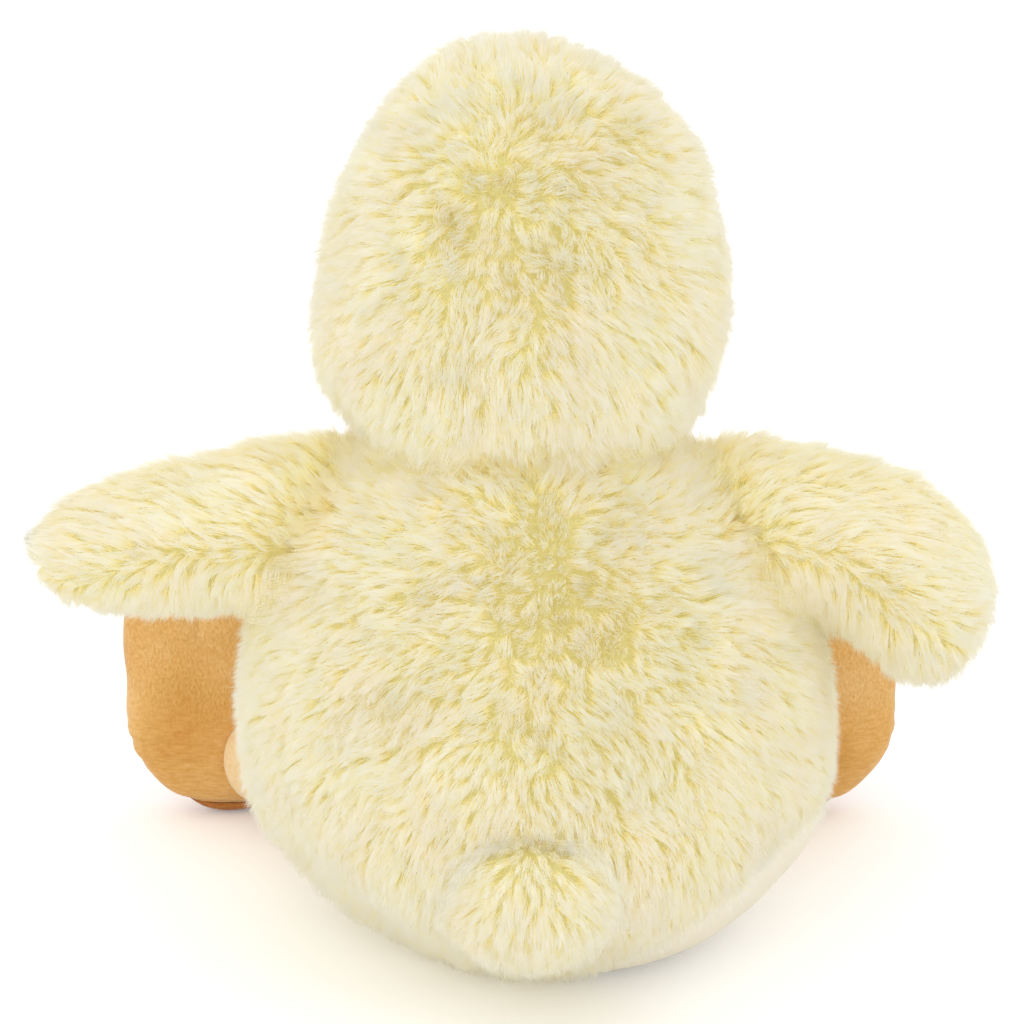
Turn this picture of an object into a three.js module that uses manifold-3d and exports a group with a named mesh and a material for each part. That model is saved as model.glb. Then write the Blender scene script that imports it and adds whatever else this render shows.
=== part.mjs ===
// A sitting plush duckling, 295 mm tall. It faces -Y, +Z is up, and the origin is on the floor under the middle
// of its base. Its own left is +X. Millimetres and degrees throughout.
import * as THREE from 'three';
import { mergeVertices } from 'three/addons/utils/BufferGeometryUtils.js';
import Module from 'manifold-3d';

const wasm = await Module();
wasm.setup();

// Cloth, and the clearances between pieces
const FUR_DEPTH = 7; // fur fabric with its pile lying down
const VELBOA_DEPTH = 2.5; // short-pile fabric of the legs and feet
const BASE_CLOTH = 2;
const SEAM_GAP = 0.3; // between two panels sewn edge to edge
const FIT = 0.3; // between a cover and its stuffing, or a limb and its seat

// Body
const BODY_HALF_WIDTH = 96;
const BODY_HALF_DEPTH = 90;
const BODY_WIDEST_HEIGHT = 64;
const BODY_CROWN = 120; // from the widest ring up to where the dome would close
const BODY_KEEL = 72; // from the widest ring down to where the bowl would close, below the floor
const BODY_CROWN_POWER = 1.9;
const BODY_KEEL_POWER = 2.2;
const BODY_SETTLE = 9; // the seat has settled this far to the toy's right of its neck
const BASE_SEAM_HEIGHT = 6; // where the fur ends and the base panel begins, round the left and the front
const BASE_SEAM_TILT = 32.5; // across the right rear the seam slants upwards by this angle
const BASE_SEAM_TURN = 76; // towards this direction, from straight back round to the right
const BASE_SEAM_MIDDLE = -13.6; // where the slant would meet the body's upright middle line
const PELLET_BAG_RADIUS = 40;
const PELLET_BAG_HEIGHT = 30;

// Neck: a ball of stuffing that the head turns and nods on
const NECK_CENTRE = new THREE.Vector3(0, -2, 168);
const NECK_RADIUS = 47;
const NECK_LEAN = 8; // the neck ring is higher at the back
const NECK_OPENING = 5; // the crease opens by this angle above and below the ring

// Head
const HEAD_CENTRE = new THREE.Vector3(0, -5, 201);
const HEAD_HALF_WIDTH = 65;
const HEAD_HALF_DEPTH = 61;
const HEAD_CROWN = 92;
const HEAD_CHIN = 54;
const HEAD_CROWN_POWER = 2.1;
const HEAD_CHIN_POWER = 2;
const EYE_RADIUS = 6.5;
const EYE_HEIGHT = 6; // of the dome above its rim
const EYE_SINK = 3; // the dome's foot lies this deep in the pile
const EYE_RIM = 1; // thickness of the rim under the dome
const EYE_TURN = 27; // from straight ahead round to each side
const EYE_RISE = 17; // up from the head's widest ring
const EYE_SHANK_RADIUS = 2;
const WASHER_RADIUS = 8;
const WASHER_THICKNESS = 1.5;
const BILL_HEIGHT = 192; // of the line between its two halves
const BILL_HALF_WIDTH = 25;
const BILL_REACH = 27; // beyond the face
const BILL_UPPER_RISE = 12;
const BILL_LOWER_SHARE = 0.8; // the lower half's width and reach, of the upper's
const BILL_LOWER_RISE = 7;
const BILL_ROOT = 14; // how far behind the face the bill's form begins

// Wings: each hangs from the top of its shoulder seam and lies against the flank
const SHOULDER = new THREE.Vector3(59, 2, 152);
const SHOULDER_RADIUS = 11;
const WING_START = [50, 141]; // inside the body, across and up
const WING_HALF_TALL = 28;
const WING_HALF_CHORD = 30;
const WING_DOWN = 6;
const WING_UP = 35;
const WING_LEFT = { bend: [88, 138], tip: [152, 123], blunt: 2.6 };
const WING_RIGHT = { bend: [123, 147], tip: [132, 84], blunt: 3.2 };

// Legs and feet
const HIP = new THREE.Vector3(64, -42, 27);
const HIP_RADIUS = 17;
const LEG_RADIUS = 21;
const LEG_CLEARANCE = 3; // between the leg's end and the floor
const LEG_LIFT = 18;
const FOOT_LEFT_X = 95;
const FOOT_RIGHT_X = 89;
const FOOT_Y = -85; // of the foot's middle thickness
const FOOT_HALF_WIDTH = 36.5;
const FOOT_HALF_THICK = 14;
const FOOT_HEIGHT = 96;
const FOOT_TOE_CENTRE = 64; // height where the toes begin
const FOOT_EDGE_POWER = 2.6;
const FOOT_SPLAY = 8; // toes outwards
const FOOT_LEAN = 9; // toes away from the body
const TOE_COUNT = 3;
const TOE_DEPTH = 5;
const SOLE_LINE = -3; // the sole's seam, forward of the foot's middle
const ANKLE_RADIUS = 15; // the opening in the foot that the stuffing passes through

// Tail
const TAIL_ROOT = new THREE.Vector3(-4, 70, 44);
const TAIL_ROOT_RADIUS = 19;
const TAIL_HALF_WIDTH = 34;
const TAIL_HALF_TALL = 32;
const TAIL_LENGTH = 45;
const TAIL_RISE = 22; // above the horizontal
const TAIL_SWING = 10;

// How finely the forms are cut into faces
const SMALLEST_STEP = 0.02; // finer steps in a surface are smoothed away
const AROUND_BODY = 20;
const AROUND_LIMB = 12;
const RINGS_BODY = 5; // from the widest ring to each pole
const RINGS_LIMB = 7;
const RINGS_LEG = 4; // a leg is straight
const AROUND_BALL = 14;
const AROUND_NECK = 20;

const X = new THREE.Vector3(1, 0, 0);
const Y = new THREE.Vector3(0, 1, 0);
const Z = new THREE.Vector3(0, 0, 1);
const FAR = 400; // beyond every piece
const rad = THREE.MathUtils.degToRad;

const FUR = new THREE.MeshStandardMaterial({ color: 0xece5bd, roughness: 0.95, metalness: 0 });
const BASE_FABRIC = new THREE.MeshStandardMaterial({ color: 0xded7bc, roughness: 0.9, metalness: 0 });
const ORANGE = new THREE.MeshStandardMaterial({ color: 0xe0a050, roughness: 0.85, metalness: 0 });
const SOLE_FABRIC = new THREE.MeshStandardMaterial({ color: 0xb87838, roughness: 0.85, metalness: 0 });
const PEACH = new THREE.MeshStandardMaterial({ color: 0xf0c088, roughness: 0.85, metalness: 0 });
const STUFFING = new THREE.MeshStandardMaterial({ color: 0xf6f6f2, roughness: 1, metalness: 0 });
const BAG_CLOTH = new THREE.MeshStandardMaterial({ color: 0xe8e6de, roughness: 0.9, metalness: 0 });
const EYE_PLASTIC = new THREE.MeshStandardMaterial({ color: 0x1a1411, roughness: 0.15, metalness: 0 });
const WASHER_PLASTIC = new THREE.MeshStandardMaterial({ color: 0xe9e9e4, roughness: 0.5, metalness: 0 });

/** A closed three.js geometry as a solid, after an optional matrix. */
function solid(geometry, matrix = new THREE.Matrix4()) {
  const bare = geometry.clone().applyMatrix4(matrix);
  bare.deleteAttribute('normal');
  bare.deleteAttribute('uv');
  const merged = mergeVertices(bare, 1e-4);
  return new wasm.Manifold(new wasm.Mesh({
    numProp: 3,
    vertProperties: new Float32Array(merged.attributes.position.array),
    triVerts: new Uint32Array(merged.index.array),
  }));
}

/** A solid as a named mesh of the given material. */
function piece(name, shape, material) {
  const { vertProperties, triVerts, numProp } = shape.simplify(SMALLEST_STEP).getMesh();
  const position = new Float32Array((vertProperties.length / numProp) * 3);
  for (let i = 0; i < position.length / 3; i++) {
    for (let k = 0; k < 3; k++) position[3 * i + k] = vertProperties[numProp * i + k];
  }
  const geometry = new THREE.BufferGeometry();
  geometry.setAttribute('position', new THREE.BufferAttribute(position, 3));
  geometry.setIndex(new THREE.BufferAttribute(new Uint32Array(triVerts), 1));
  geometry.computeVertexNormals();
  const mesh = new THREE.Mesh(geometry, material);
  mesh.name = name;
  return mesh;
}

/** Joins rings of points, each the same count, into a closed geometry. An end of one point is a pole. */
function loft(rings) {
  const points = [];
  const faces = [];
  const starts = rings.map((ring) => {
    const start = points.length;
    points.push(...ring);
    return start;
  });
  const cap = (ring, start, flip) => {
    if (ring.length === 1) return;
    const middle = points.length;
    points.push(ring.reduce((sum, p) => sum.add(p), new THREE.Vector3()).divideScalar(ring.length));
    ring.forEach((_, j) => {
      const next = start + ((j + 1) % ring.length);
      faces.push(flip ? [middle, next, start + j] : [middle, start + j, next]);
    });
  };
  for (let i = 0; i + 1 < rings.length; i++) {
    const [a, b] = [rings[i].length, rings[i + 1].length];
    for (let j = 0; j < Math.max(a, b); j++) {
      const low = starts[i] + (j % a);
      const lowNext = starts[i] + ((j + 1) % a);
      const high = starts[i + 1] + (j % b);
      const highNext = starts[i + 1] + ((j + 1) % b);
      if (a > 1) faces.push([low, lowNext, highNext]);
      if (b > 1) faces.push([low, highNext, high]);
    }
  }
  cap(rings[0], starts[0], true);
  cap(rings.at(-1), starts.at(-1), false);
  const geometry = new THREE.BufferGeometry();
  geometry.setAttribute('position', new THREE.Float32BufferAttribute(points.flatMap((p) => p.toArray()), 3));
  geometry.setIndex(faces.flat());
  return geometry;
}

/** sin or cos raised to 2 / power with its sign kept, which turns an ellipse into a fuller outline. */
const fuller = (value, power) => Math.sign(value) * Math.abs(value) ** (2 / power);

/** An egg with its own height and fullness above and below its widest ring, drawn in on all sides by inset. */
function egg({ centre, halfWidth, halfDepth, up, down, upPower, downPower, lean = 0 }, inset = 0) {
  const rings = [];
  for (let i = -RINGS_BODY; i <= RINGS_BODY; i++) {
    const rise = (i / RINGS_BODY) * (Math.PI / 2);
    const [height, power] = i < 0 ? [down, downPower] : [up, upPower];
    const share = Math.abs(i) === RINGS_BODY ? 0 : fuller(Math.cos(rise), power);
    const z = (height - inset) * fuller(Math.sin(rise), power);
    const count = share === 0 ? 1 : AROUND_BODY;
    rings.push(Array.from({ length: count }, (_, j) => {
      const turn = ((j + 0.5) / AROUND_BODY) * 2 * Math.PI;
      return new THREE.Vector3(
        (halfWidth - inset) * share * Math.cos(turn) + z * lean,
        (halfDepth - inset) * share * Math.sin(turn),
        z,
      ).add(centre);
    }));
  }
  return solid(loft(rings));
}

/** A ball about a point. */
function ball(centre, radius, around = AROUND_BALL) {
  const sphere = new THREE.SphereGeometry(radius, around, around / 2);
  return solid(sphere, new THREE.Matrix4().makeTranslation(centre));
}

/** The hollow that such a ball turns in: its faces clear the ball's corners by FIT however it is turned. */
function hollow(centre, radius, around = AROUND_BALL) {
  const half = Math.PI / around;
  const sphere = new THREE.SphereGeometry((radius + FIT) / Math.cos(half) ** 2, around, around / 2);
  return solid(sphere.rotateY(half), new THREE.Matrix4().makeTranslation(centre));
}

/** Everything on the positive side of a plane through a point, as far as FAR. */
function beyond(point, normal) {
  const turn = new THREE.Quaternion().setFromUnitVectors(Z, normal.clone().normalize());
  const centre = point.clone().addScaledVector(normal.clone().normalize(), FAR / 2);
  const matrix = new THREE.Matrix4().compose(centre, turn, new THREE.Vector3(1, 1, 1));
  return solid(new THREE.BoxGeometry(2 * FAR, 2 * FAR, FAR), matrix);
}

/** A solid turned about an axis through a point. */
function turned(shape, point, axis, degrees) {
  const matrix = new THREE.Matrix4().makeTranslation(point)
    .multiply(new THREE.Matrix4().makeRotationAxis(axis, rad(degrees)))
    .multiply(new THREE.Matrix4().makeTranslation(point.clone().negate()));
  return shape.transform(matrix.toArray());
}

/** Cuts away what a neighbour would sweep as the shape turns from one limit to the other about a point. */
function clearedOf(shape, neighbour, point, axis, from, to, steps = 3) {
  let result = shape;
  for (let i = 0; i < steps; i++) {
    const degrees = from + ((to - from) * i) / (steps - 1);
    result = result.subtract(turned(neighbour, point, axis, -degrees));
  }
  return result;
}

/** A stuffed limb: an oval section that swells from its root and rounds off at its tip, along a curve. */
function limb({ curve, side, halfTall, halfWide, rootShare, blunt, rings: count = RINGS_LIMB }, inset = 0) {
  const length = curve.getLength();
  const reach = (length - inset) / length;
  const rings = [];
  for (let i = 0; i <= count; i++) {
    const along = Math.sin((i / count) * (Math.PI / 2));
    const at = along * reach;
    const middle = curve.getPointAt(at);
    const tangent = curve.getTangentAt(at);
    const across = side.clone().addScaledVector(tangent, -side.dot(tangent)).normalize();
    const above = new THREE.Vector3().crossVectors(tangent, across);
    const swell = rootShare + (1 - rootShare) * THREE.MathUtils.smoothstep(at, 0, 0.35);
    const taper = i === count ? 0 : (1 - along ** blunt) ** (1 / blunt);
    rings.push(Array.from({ length: taper === 0 ? 1 : AROUND_LIMB }, (_, j) => {
      const turn = (j / AROUND_LIMB) * 2 * Math.PI;
      return middle.clone()
        .addScaledVector(across, (halfWide * swell - inset) * taper * Math.cos(turn))
        .addScaledVector(above, (halfTall * swell - inset) * taper * Math.sin(turn));
    }));
  }
  return solid(loft(rings));
}

// Forms that several pieces are cut from
const bodyLean = BODY_SETTLE / NECK_CENTRE.z;
const bodyForm = {
  centre: new THREE.Vector3(BODY_WIDEST_HEIGHT * bodyLean - BODY_SETTLE, 0, BODY_WIDEST_HEIGHT),
  lean: bodyLean,
  halfWidth: BODY_HALF_WIDTH,
  halfDepth: BODY_HALF_DEPTH,
  up: BODY_CROWN,
  down: BODY_KEEL,
  upPower: BODY_CROWN_POWER,
  downPower: BODY_KEEL_POWER,
};
const headForm = {
  centre: HEAD_CENTRE,
  halfWidth: HEAD_HALF_WIDTH,
  halfDepth: HEAD_HALF_DEPTH,
  up: HEAD_CROWN,
  down: HEAD_CHIN,
  upPower: HEAD_CROWN_POWER,
  downPower: HEAD_CHIN_POWER,
};
const neckAxis = new THREE.Vector3(0, -Math.sin(rad(NECK_LEAN)), Math.cos(rad(NECK_LEAN)));
const bodyOutside = egg(bodyForm);
const bodySurround = egg(bodyForm, -FIT);
const headOutside = egg(headForm);

/** The space on one side of the neck crease: a cone about the leaning neck axis, opened by NECK_OPENING. */
function neckCone(sign) {
  const slope = FAR * Math.tan(rad(NECK_OPENING));
  const outline = [[0, 0], [FAR, sign * slope], [FAR, sign * FAR], [0, sign * FAR]];
  if (sign < 0) outline.reverse();
  const cone = new THREE.LatheGeometry(outline.map(([r, z]) => new THREE.Vector2(r, z)), AROUND_BALL);
  const upright = new THREE.Matrix4().makeRotationX(Math.PI / 2);
  const lean = new THREE.Matrix4().makeRotationX(rad(NECK_LEAN));
  const matrix = new THREE.Matrix4().makeTranslation(NECK_CENTRE).multiply(lean).multiply(upright);
  return solid(cone, matrix);
}
const headSpace = neckCone(1);
const bodySpace = neckCone(-1);
const neckHollow = hollow(NECK_CENTRE, NECK_RADIUS, AROUND_NECK);

/** The hip on one side: 1 is the toy's left, -1 its right. */
const hipAt = (side) => HIP.clone().setX(side * HIP.x);
const shoulderAt = (side) => SHOULDER.clone().setX(side * SHOULDER.x);

/** What every piece of the body leaves free: the neck, both shoulders, both hips and the tail's root. */
function withoutSeats(shape) {
  let result = shape.intersect(bodySpace).subtract(neckHollow);
  for (const side of [1, -1]) {
    result = result.subtract(hollow(shoulderAt(side), SHOULDER_RADIUS));
    result = result.subtract(hollow(hipAt(side), HIP_RADIUS));
  }
  return result.subtract(hollow(TAIL_ROOT, TAIL_ROOT_RADIUS));
}

/** The fur's side of the base seam moved up by a distance, or the base panel's side if up is false. */
function besideBaseSeam(up, distance) {
  const slant = Z.clone().applyAxisAngle(X, rad(BASE_SEAM_TILT)).applyAxisAngle(Z, rad(BASE_SEAM_TURN));
  const [level, slanting] = [[Z, BASE_SEAM_HEIGHT], [slant, BASE_SEAM_MIDDLE]].map(([normal, height]) => {
    const point = new THREE.Vector3(0, 0, height).addScaledVector(normal, distance);
    return beyond(point, up ? normal : normal.clone().negate());
  });
  return up ? level.intersect(slanting) : level.add(slanting);
}

/** The cloth shell, the fibre and the pellets of the body. */
function body() {
  const group = new THREE.Group();
  const aboveFloor = beyond(new THREE.Vector3(), Z);
  const shell = withoutSeats(bodyOutside.subtract(egg(bodyForm, FUR_DEPTH)).intersect(besideBaseSeam(true, 0)));
  const half = SEAM_GAP / 2;
  const back = beyond(new THREE.Vector3(0, SHOULDER.y + half, 0), Y);
  const front = beyond(new THREE.Vector3(0, SHOULDER.y - half, 0), Y.clone().negate());
  const left = beyond(new THREE.Vector3(half, 0, 0), X);
  const right = beyond(new THREE.Vector3(-half, 0, 0), X.clone().negate());
  group.add(piece('body_back_left', shell.intersect(back).intersect(left), FUR));
  group.add(piece('body_back_right', shell.intersect(back).intersect(right), FUR));
  group.add(piece('body_belly', shell.intersect(front), FUR));

  const belowSeam = besideBaseSeam(false, -SEAM_GAP);
  const tray = bodyOutside.intersect(belowSeam).intersect(aboveFloor);
  const trayInside = egg(bodyForm, BASE_CLOTH).intersect(beyond(new THREE.Vector3(0, 0, BASE_CLOTH), Z));
  group.add(piece('base_panel', withoutSeats(tray.subtract(trayInside)), BASE_FABRIC));

  const fillFloor = BASE_CLOTH + FIT;
  const aboveCloth = beyond(new THREE.Vector3(0, 0, fillFloor), Z);
  const bagForm = {
    centre: new THREE.Vector3(-BODY_SETTLE, 0, fillFloor + PELLET_BAG_HEIGHT / 3),
    halfWidth: PELLET_BAG_RADIUS,
    halfDepth: PELLET_BAG_RADIUS,
    up: (2 * PELLET_BAG_HEIGHT) / 3,
    down: PELLET_BAG_HEIGHT / 2,
    upPower: 2.2,
    downPower: 2.2,
  };
  const upperFill = egg(bodyForm, FUR_DEPTH + FIT);
  const lowerFill = egg(bodyForm, BASE_CLOTH + FIT).intersect(besideBaseSeam(false, -SEAM_GAP - FIT));
  const fill = upperFill.add(lowerFill).intersect(aboveCloth).subtract(egg(bagForm, -FIT));
  group.add(piece('body_stuffing', withoutSeats(fill), STUFFING));
  group.add(piece('pellet_bag', egg(bagForm).intersect(aboveCloth), BAG_CLOTH));
  return group;
}

/** A point of the head's surface and the outward normal there, by turn from straight ahead and rise. */
function onHead(turn, rise) {
  const share = fuller(Math.cos(rad(rise)), HEAD_CROWN_POWER);
  const height = HEAD_CROWN * fuller(Math.sin(rad(rise)), HEAD_CROWN_POWER);
  const point = new THREE.Vector3(
    HEAD_HALF_WIDTH * share * Math.sin(rad(turn)),
    -HEAD_HALF_DEPTH * share * Math.cos(rad(turn)),
    height,
  );
  const normal = new THREE.Vector3(
    point.x / HEAD_HALF_WIDTH ** 2,
    point.y / HEAD_HALF_DEPTH ** 2,
    point.z / HEAD_CROWN ** 2,
  ).normalize();
  return { point: point.add(HEAD_CENTRE), normal };
}

/** A body of revolution about an outward normal at a point, from an outline of radius and height. */
function spun(outline, { point, normal }, count) {
  const lathe = new THREE.LatheGeometry(outline.map(([r, h]) => new THREE.Vector2(r, h)), count);
  const turn = new THREE.Quaternion().setFromUnitVectors(Y, normal);
  return solid(lathe, new THREE.Matrix4().compose(point, turn, new THREE.Vector3(1, 1, 1)));
}

/** The eye, its washer, and the room they take in the cover and in the stuffing. Heights are from the fur. */
function eyeParts(side) {
  const seat = onHead(side * EYE_TURN, EYE_RISE);
  const back = -FUR_DEPTH - FIT;
  const shankEnd = back - 3 * WASHER_THICKNESS;
  const dome = [];
  const steps = 4;
  for (let i = 0; i <= steps; i++) {
    const angle = (i / steps) * (Math.PI / 2);
    dome.push([i === steps ? 0 : EYE_RADIUS * Math.cos(angle), EYE_HEIGHT * Math.sin(angle) - EYE_SINK]);
  }
  const rim = [[0, shankEnd], [EYE_SHANK_RADIUS, shankEnd], [EYE_SHANK_RADIUS, -EYE_SINK - EYE_RIM]];
  const eye = spun([...rim, [EYE_RADIUS, -EYE_SINK - EYE_RIM], ...dome], seat, 12);
  const bore = EYE_SHANK_RADIUS + FIT;
  const washer = spun([
    [bore, back - WASHER_THICKNESS], [WASHER_RADIUS, back - WASHER_THICKNESS], [WASHER_RADIUS, back],
    [bore, back], [bore, back - WASHER_THICKNESS],
  ], seat, 12);
  const wide = EYE_RADIUS + FIT;
  const rimPocket = -EYE_SINK - EYE_RIM - FIT;
  const socket = spun([
    [0, -2 * FUR_DEPTH], [bore, -2 * FUR_DEPTH], [bore, rimPocket], [wide, rimPocket], [wide, FUR_DEPTH],
    [0, FUR_DEPTH],
  ], seat, 12);
  const hole = WASHER_RADIUS + FIT;
  const pocketFloor = shankEnd - FIT;
  const pocketTo = (top) => spun([[0, pocketFloor], [hole, pocketFloor], [hole, top], [0, top]], seat, 12);
  return { eye, washer, opening: socket.add(pocketTo(back + FIT)), pocket: pocketTo(FUR_DEPTH) };
}

/** One half of the bill: half an oval lens, cut flat along the line between the halves. */
function billHalf(sign) {
  const share = sign > 0 ? 1 : BILL_LOWER_SHARE;
  const rise = sign > 0 ? BILL_UPPER_RISE : BILL_LOWER_RISE;
  const face = HEAD_CENTRE.y - HEAD_HALF_DEPTH;
  const start = new THREE.Vector3(0, face + BILL_ROOT, BILL_HEIGHT);
  const end = new THREE.Vector3(0, face - BILL_REACH * share, BILL_HEIGHT);
  const form = limb({
    curve: new THREE.LineCurve3(start, end),
    side: X,
    halfTall: rise,
    halfWide: BILL_HALF_WIDTH * share,
    rootShare: 1,
    blunt: 2.6,
  });
  const line = new THREE.Vector3(0, 0, BILL_HEIGHT + (sign * SEAM_GAP) / 2);
  return form.intersect(beyond(line, Z.clone().multiplyScalar(sign))).subtract(egg(headForm, -FIT));
}

/** The head's two cover panels, its fibre, the eyes with their washers and the bill. */
function head() {
  const group = new THREE.Group();
  const eyes = [eyeParts(1), eyeParts(-1)];
  let shell = headOutside.subtract(egg(headForm, FUR_DEPTH)).intersect(headSpace).subtract(neckHollow);
  let fill = egg(headForm, FUR_DEPTH + FIT).intersect(headSpace).subtract(neckHollow);
  for (const { opening, pocket } of eyes) {
    shell = shell.subtract(opening);
    fill = fill.subtract(pocket);
  }
  const half = SEAM_GAP / 2;
  const left = beyond(new THREE.Vector3(half, 0, 0), X);
  const right = beyond(new THREE.Vector3(-half, 0, 0), X.clone().negate());
  group.add(piece('head_cover_left', shell.intersect(left), FUR));
  group.add(piece('head_cover_right', shell.intersect(right), FUR));
  group.add(piece('head_stuffing', fill, STUFFING));
  group.add(piece('bill_upper', billHalf(1), ORANGE));
  group.add(piece('bill_lower', billHalf(-1), ORANGE));
  ['left', 'right'].forEach((name, i) => {
    group.add(piece(`eye_${name}`, eyes[i].eye, EYE_PLASTIC));
    group.add(piece(`eye_washer_${name}`, eyes[i].washer, WASHER_PLASTIC));
  });
  return group;
}

/** A wing: a top and an under panel, sewn along its edge, and the fibre that turns in the shoulder. */
function wing(name, side, { bend, tip, blunt }) {
  const shoulder = shoulderAt(side);
  const at = ([x, z]) => new THREE.Vector3(side * x, SHOULDER.y, z);
  const curve = new THREE.QuadraticBezierCurve3(at(WING_START), at(bend), at(tip));
  const form = {
    curve,
    side: Y,
    halfTall: WING_HALF_TALL,
    halfWide: WING_HALF_CHORD,
    rootShare: 0.9,
    blunt,
  };
  const flapAxis = Y.clone().multiplyScalar(-side);
  const clear = (shape) => clearedOf(shape, bodySurround, shoulder, flapAxis, -WING_DOWN, WING_UP);
  const shell = clear(limb(form).subtract(limb(form, FUR_DEPTH)))
    .subtract(hollow(shoulder, SHOULDER_RADIUS));
  const fill = clear(limb(form, FUR_DEPTH + FIT)).add(ball(shoulder, SHOULDER_RADIUS));
  const group = new THREE.Group();
  group.add(piece(`wing_${name}_top`, shell.intersect(besideCurve(curve, side, 1)), FUR));
  group.add(piece(`wing_${name}_under`, shell.intersect(besideCurve(curve, side, -1)), FUR));
  group.add(piece(`wing_${name}_stuffing`, fill, STUFFING));
  return group;
}

/** All that lies above (1) or below (-1) a limb's middle line, which is drawn on beyond both its ends. */
function besideCurve(curve, side, sign) {
  const points = curve.getSpacedPoints(RINGS_LIMB).map((p) => [p.x, p.z + (sign * SEAM_GAP) / 2]);
  const last = curve.getTangentAt(1);
  const outline = [
    [-side * FAR, points[0][1]],
    ...points,
    [points.at(-1)[0] + last.x * FAR, points.at(-1)[1] + last.z * FAR],
    [side * FAR, 2 * sign * FAR],
    [-side * FAR, 2 * sign * FAR],
  ];
  const shape = new THREE.Shape(outline.map(([x, z]) => new THREE.Vector2(x, z)));
  const slab = new THREE.ExtrudeGeometry(shape, { depth: FAR, bevelEnabled: false });
  const matrix = new THREE.Matrix4().makeTranslation(0, FAR / 2, 0)
    .multiply(new THREE.Matrix4().makeRotationX(Math.PI / 2));
  return solid(slab, matrix);
}

/** The foot's outline in its own upright plane, counted anticlockwise from its outer side: [x, z] pairs. */
function footOutline(inset) {
  const wide = FOOT_HALF_WIDTH - inset;
  const toeHeight = FOOT_HEIGHT - FOOT_TOE_CENTRE - inset;
  const steps = 13;
  const outline = [];
  for (let i = 0; i < steps; i++) {
    const turn = (i / (steps - 1)) * Math.PI;
    const across = Math.cos(turn);
    const lobes = TOE_DEPTH * (1 - Math.abs(Math.cos(TOE_COUNT * turn + Math.PI / 2)));
    const height = toeHeight * fuller(Math.sin(turn), 2.6) - (i === 0 || i === steps - 1 ? 0 : lobes);
    outline.push([wide * fuller(across, 2.6), FOOT_TOE_CENTRE + height]);
  }
  for (let i = 1; i < steps - 1; i++) {
    const turn = Math.PI + (i / (steps - 1)) * Math.PI;
    outline.push([wide * Math.cos(turn), FOOT_HALF_WIDTH + wide * Math.sin(turn)]);
  }
  return outline;
}

/** The foot as a stuffed pillow of its outline, standing upright at its own origin. */
function footForm(inset = 0) {
  const outline = footOutline(inset);
  const centre = FOOT_HEIGHT / 2;
  const thick = FOOT_HALF_THICK - inset;
  const levels = 3;
  const rings = [];
  for (let i = -levels; i <= levels; i++) {
    const tilt = (i / levels) * (Math.PI / 2);
    const share = Math.abs(i) === levels ? 0 : fuller(Math.cos(tilt), FOOT_EDGE_POWER);
    const y = -thick * fuller(Math.sin(tilt), FOOT_EDGE_POWER);
    const points = outline.map(([x, z]) => new THREE.Vector3(x * share, y, centre + (z - centre) * share));
    rings.push(share === 0 ? [new THREE.Vector3(0, y, centre)] : points);
  }
  return solid(loft(rings));
}

/** A leg and its foot: the leg's cloth tube, the foot's upper and sole, and the fibre that fills both. */
function leg(name, side, footX) {
  const hip = hipAt(side);
  const footMatrix = new THREE.Matrix4().makeTranslation(side * footX, FOOT_Y, 0)
    .multiply(new THREE.Matrix4().makeRotationZ(rad(side * FOOT_SPLAY)))
    .multiply(new THREE.Matrix4().makeRotationX(rad(FOOT_LEAN)));
  const placed = (shape) => shape.transform(footMatrix.toArray());
  const ankle = new THREE.Vector3(side * footX, FOOT_Y, LEG_RADIUS + LEG_CLEARANCE);
  const curve = new THREE.LineCurve3(hip, ankle);
  const tube = (radius, rootShare = 0.9) => limb({
    curve, side: X, halfTall: radius, halfWide: radius, rootShare, blunt: 8, rings: RINGS_LEG,
  });
  const clear = (shape) => clearedOf(shape, bodySurround, hip, X.clone().negate(), 0, LEG_LIFT);
  const aboveFloor = beyond(new THREE.Vector3(), Z);
  const group = new THREE.Group();

  const foot = placed(footForm());
  const footInside = placed(footForm(VELBOA_DEPTH));
  const footShell = foot.subtract(footInside).intersect(aboveFloor);
  const soleAt = (offset) => {
    const normal = new THREE.Vector3(0, -1, 0).transformDirection(footMatrix);
    const point = new THREE.Vector3(0, SOLE_LINE - offset, 0).applyMatrix4(footMatrix);
    return { point, normal };
  };
  const front = soleAt(SEAM_GAP / 2);
  const rear = soleAt(-SEAM_GAP / 2);
  const upper = footShell.intersect(beyond(rear.point, rear.normal.negate())).subtract(tube(ANKLE_RADIUS, 1));
  group.add(piece(`foot_${name}_upper`, upper, ORANGE));
  group.add(piece(`foot_${name}_sole`, footShell.intersect(beyond(front.point, front.normal)), SOLE_FABRIC));

  const footSurround = placed(footForm(-FIT));
  const legShell = clear(tube(LEG_RADIUS).subtract(tube(LEG_RADIUS - VELBOA_DEPTH)))
    .subtract(hollow(hip, HIP_RADIUS)).subtract(footSurround).intersect(aboveFloor);
  group.add(piece(`leg_${name}_cover`, legShell, PEACH));

  const legFill = clear(tube(LEG_RADIUS - VELBOA_DEPTH - FIT)).subtract(footSurround);
  const footFill = placed(footForm(VELBOA_DEPTH + FIT));
  const fill = legFill.add(ball(hip, HIP_RADIUS)).add(clear(tube(ANKLE_RADIUS - FIT, 1))).add(footFill);
  group.add(piece(`leg_${name}_stuffing`, fill, STUFFING));
  return group;
}

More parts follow.
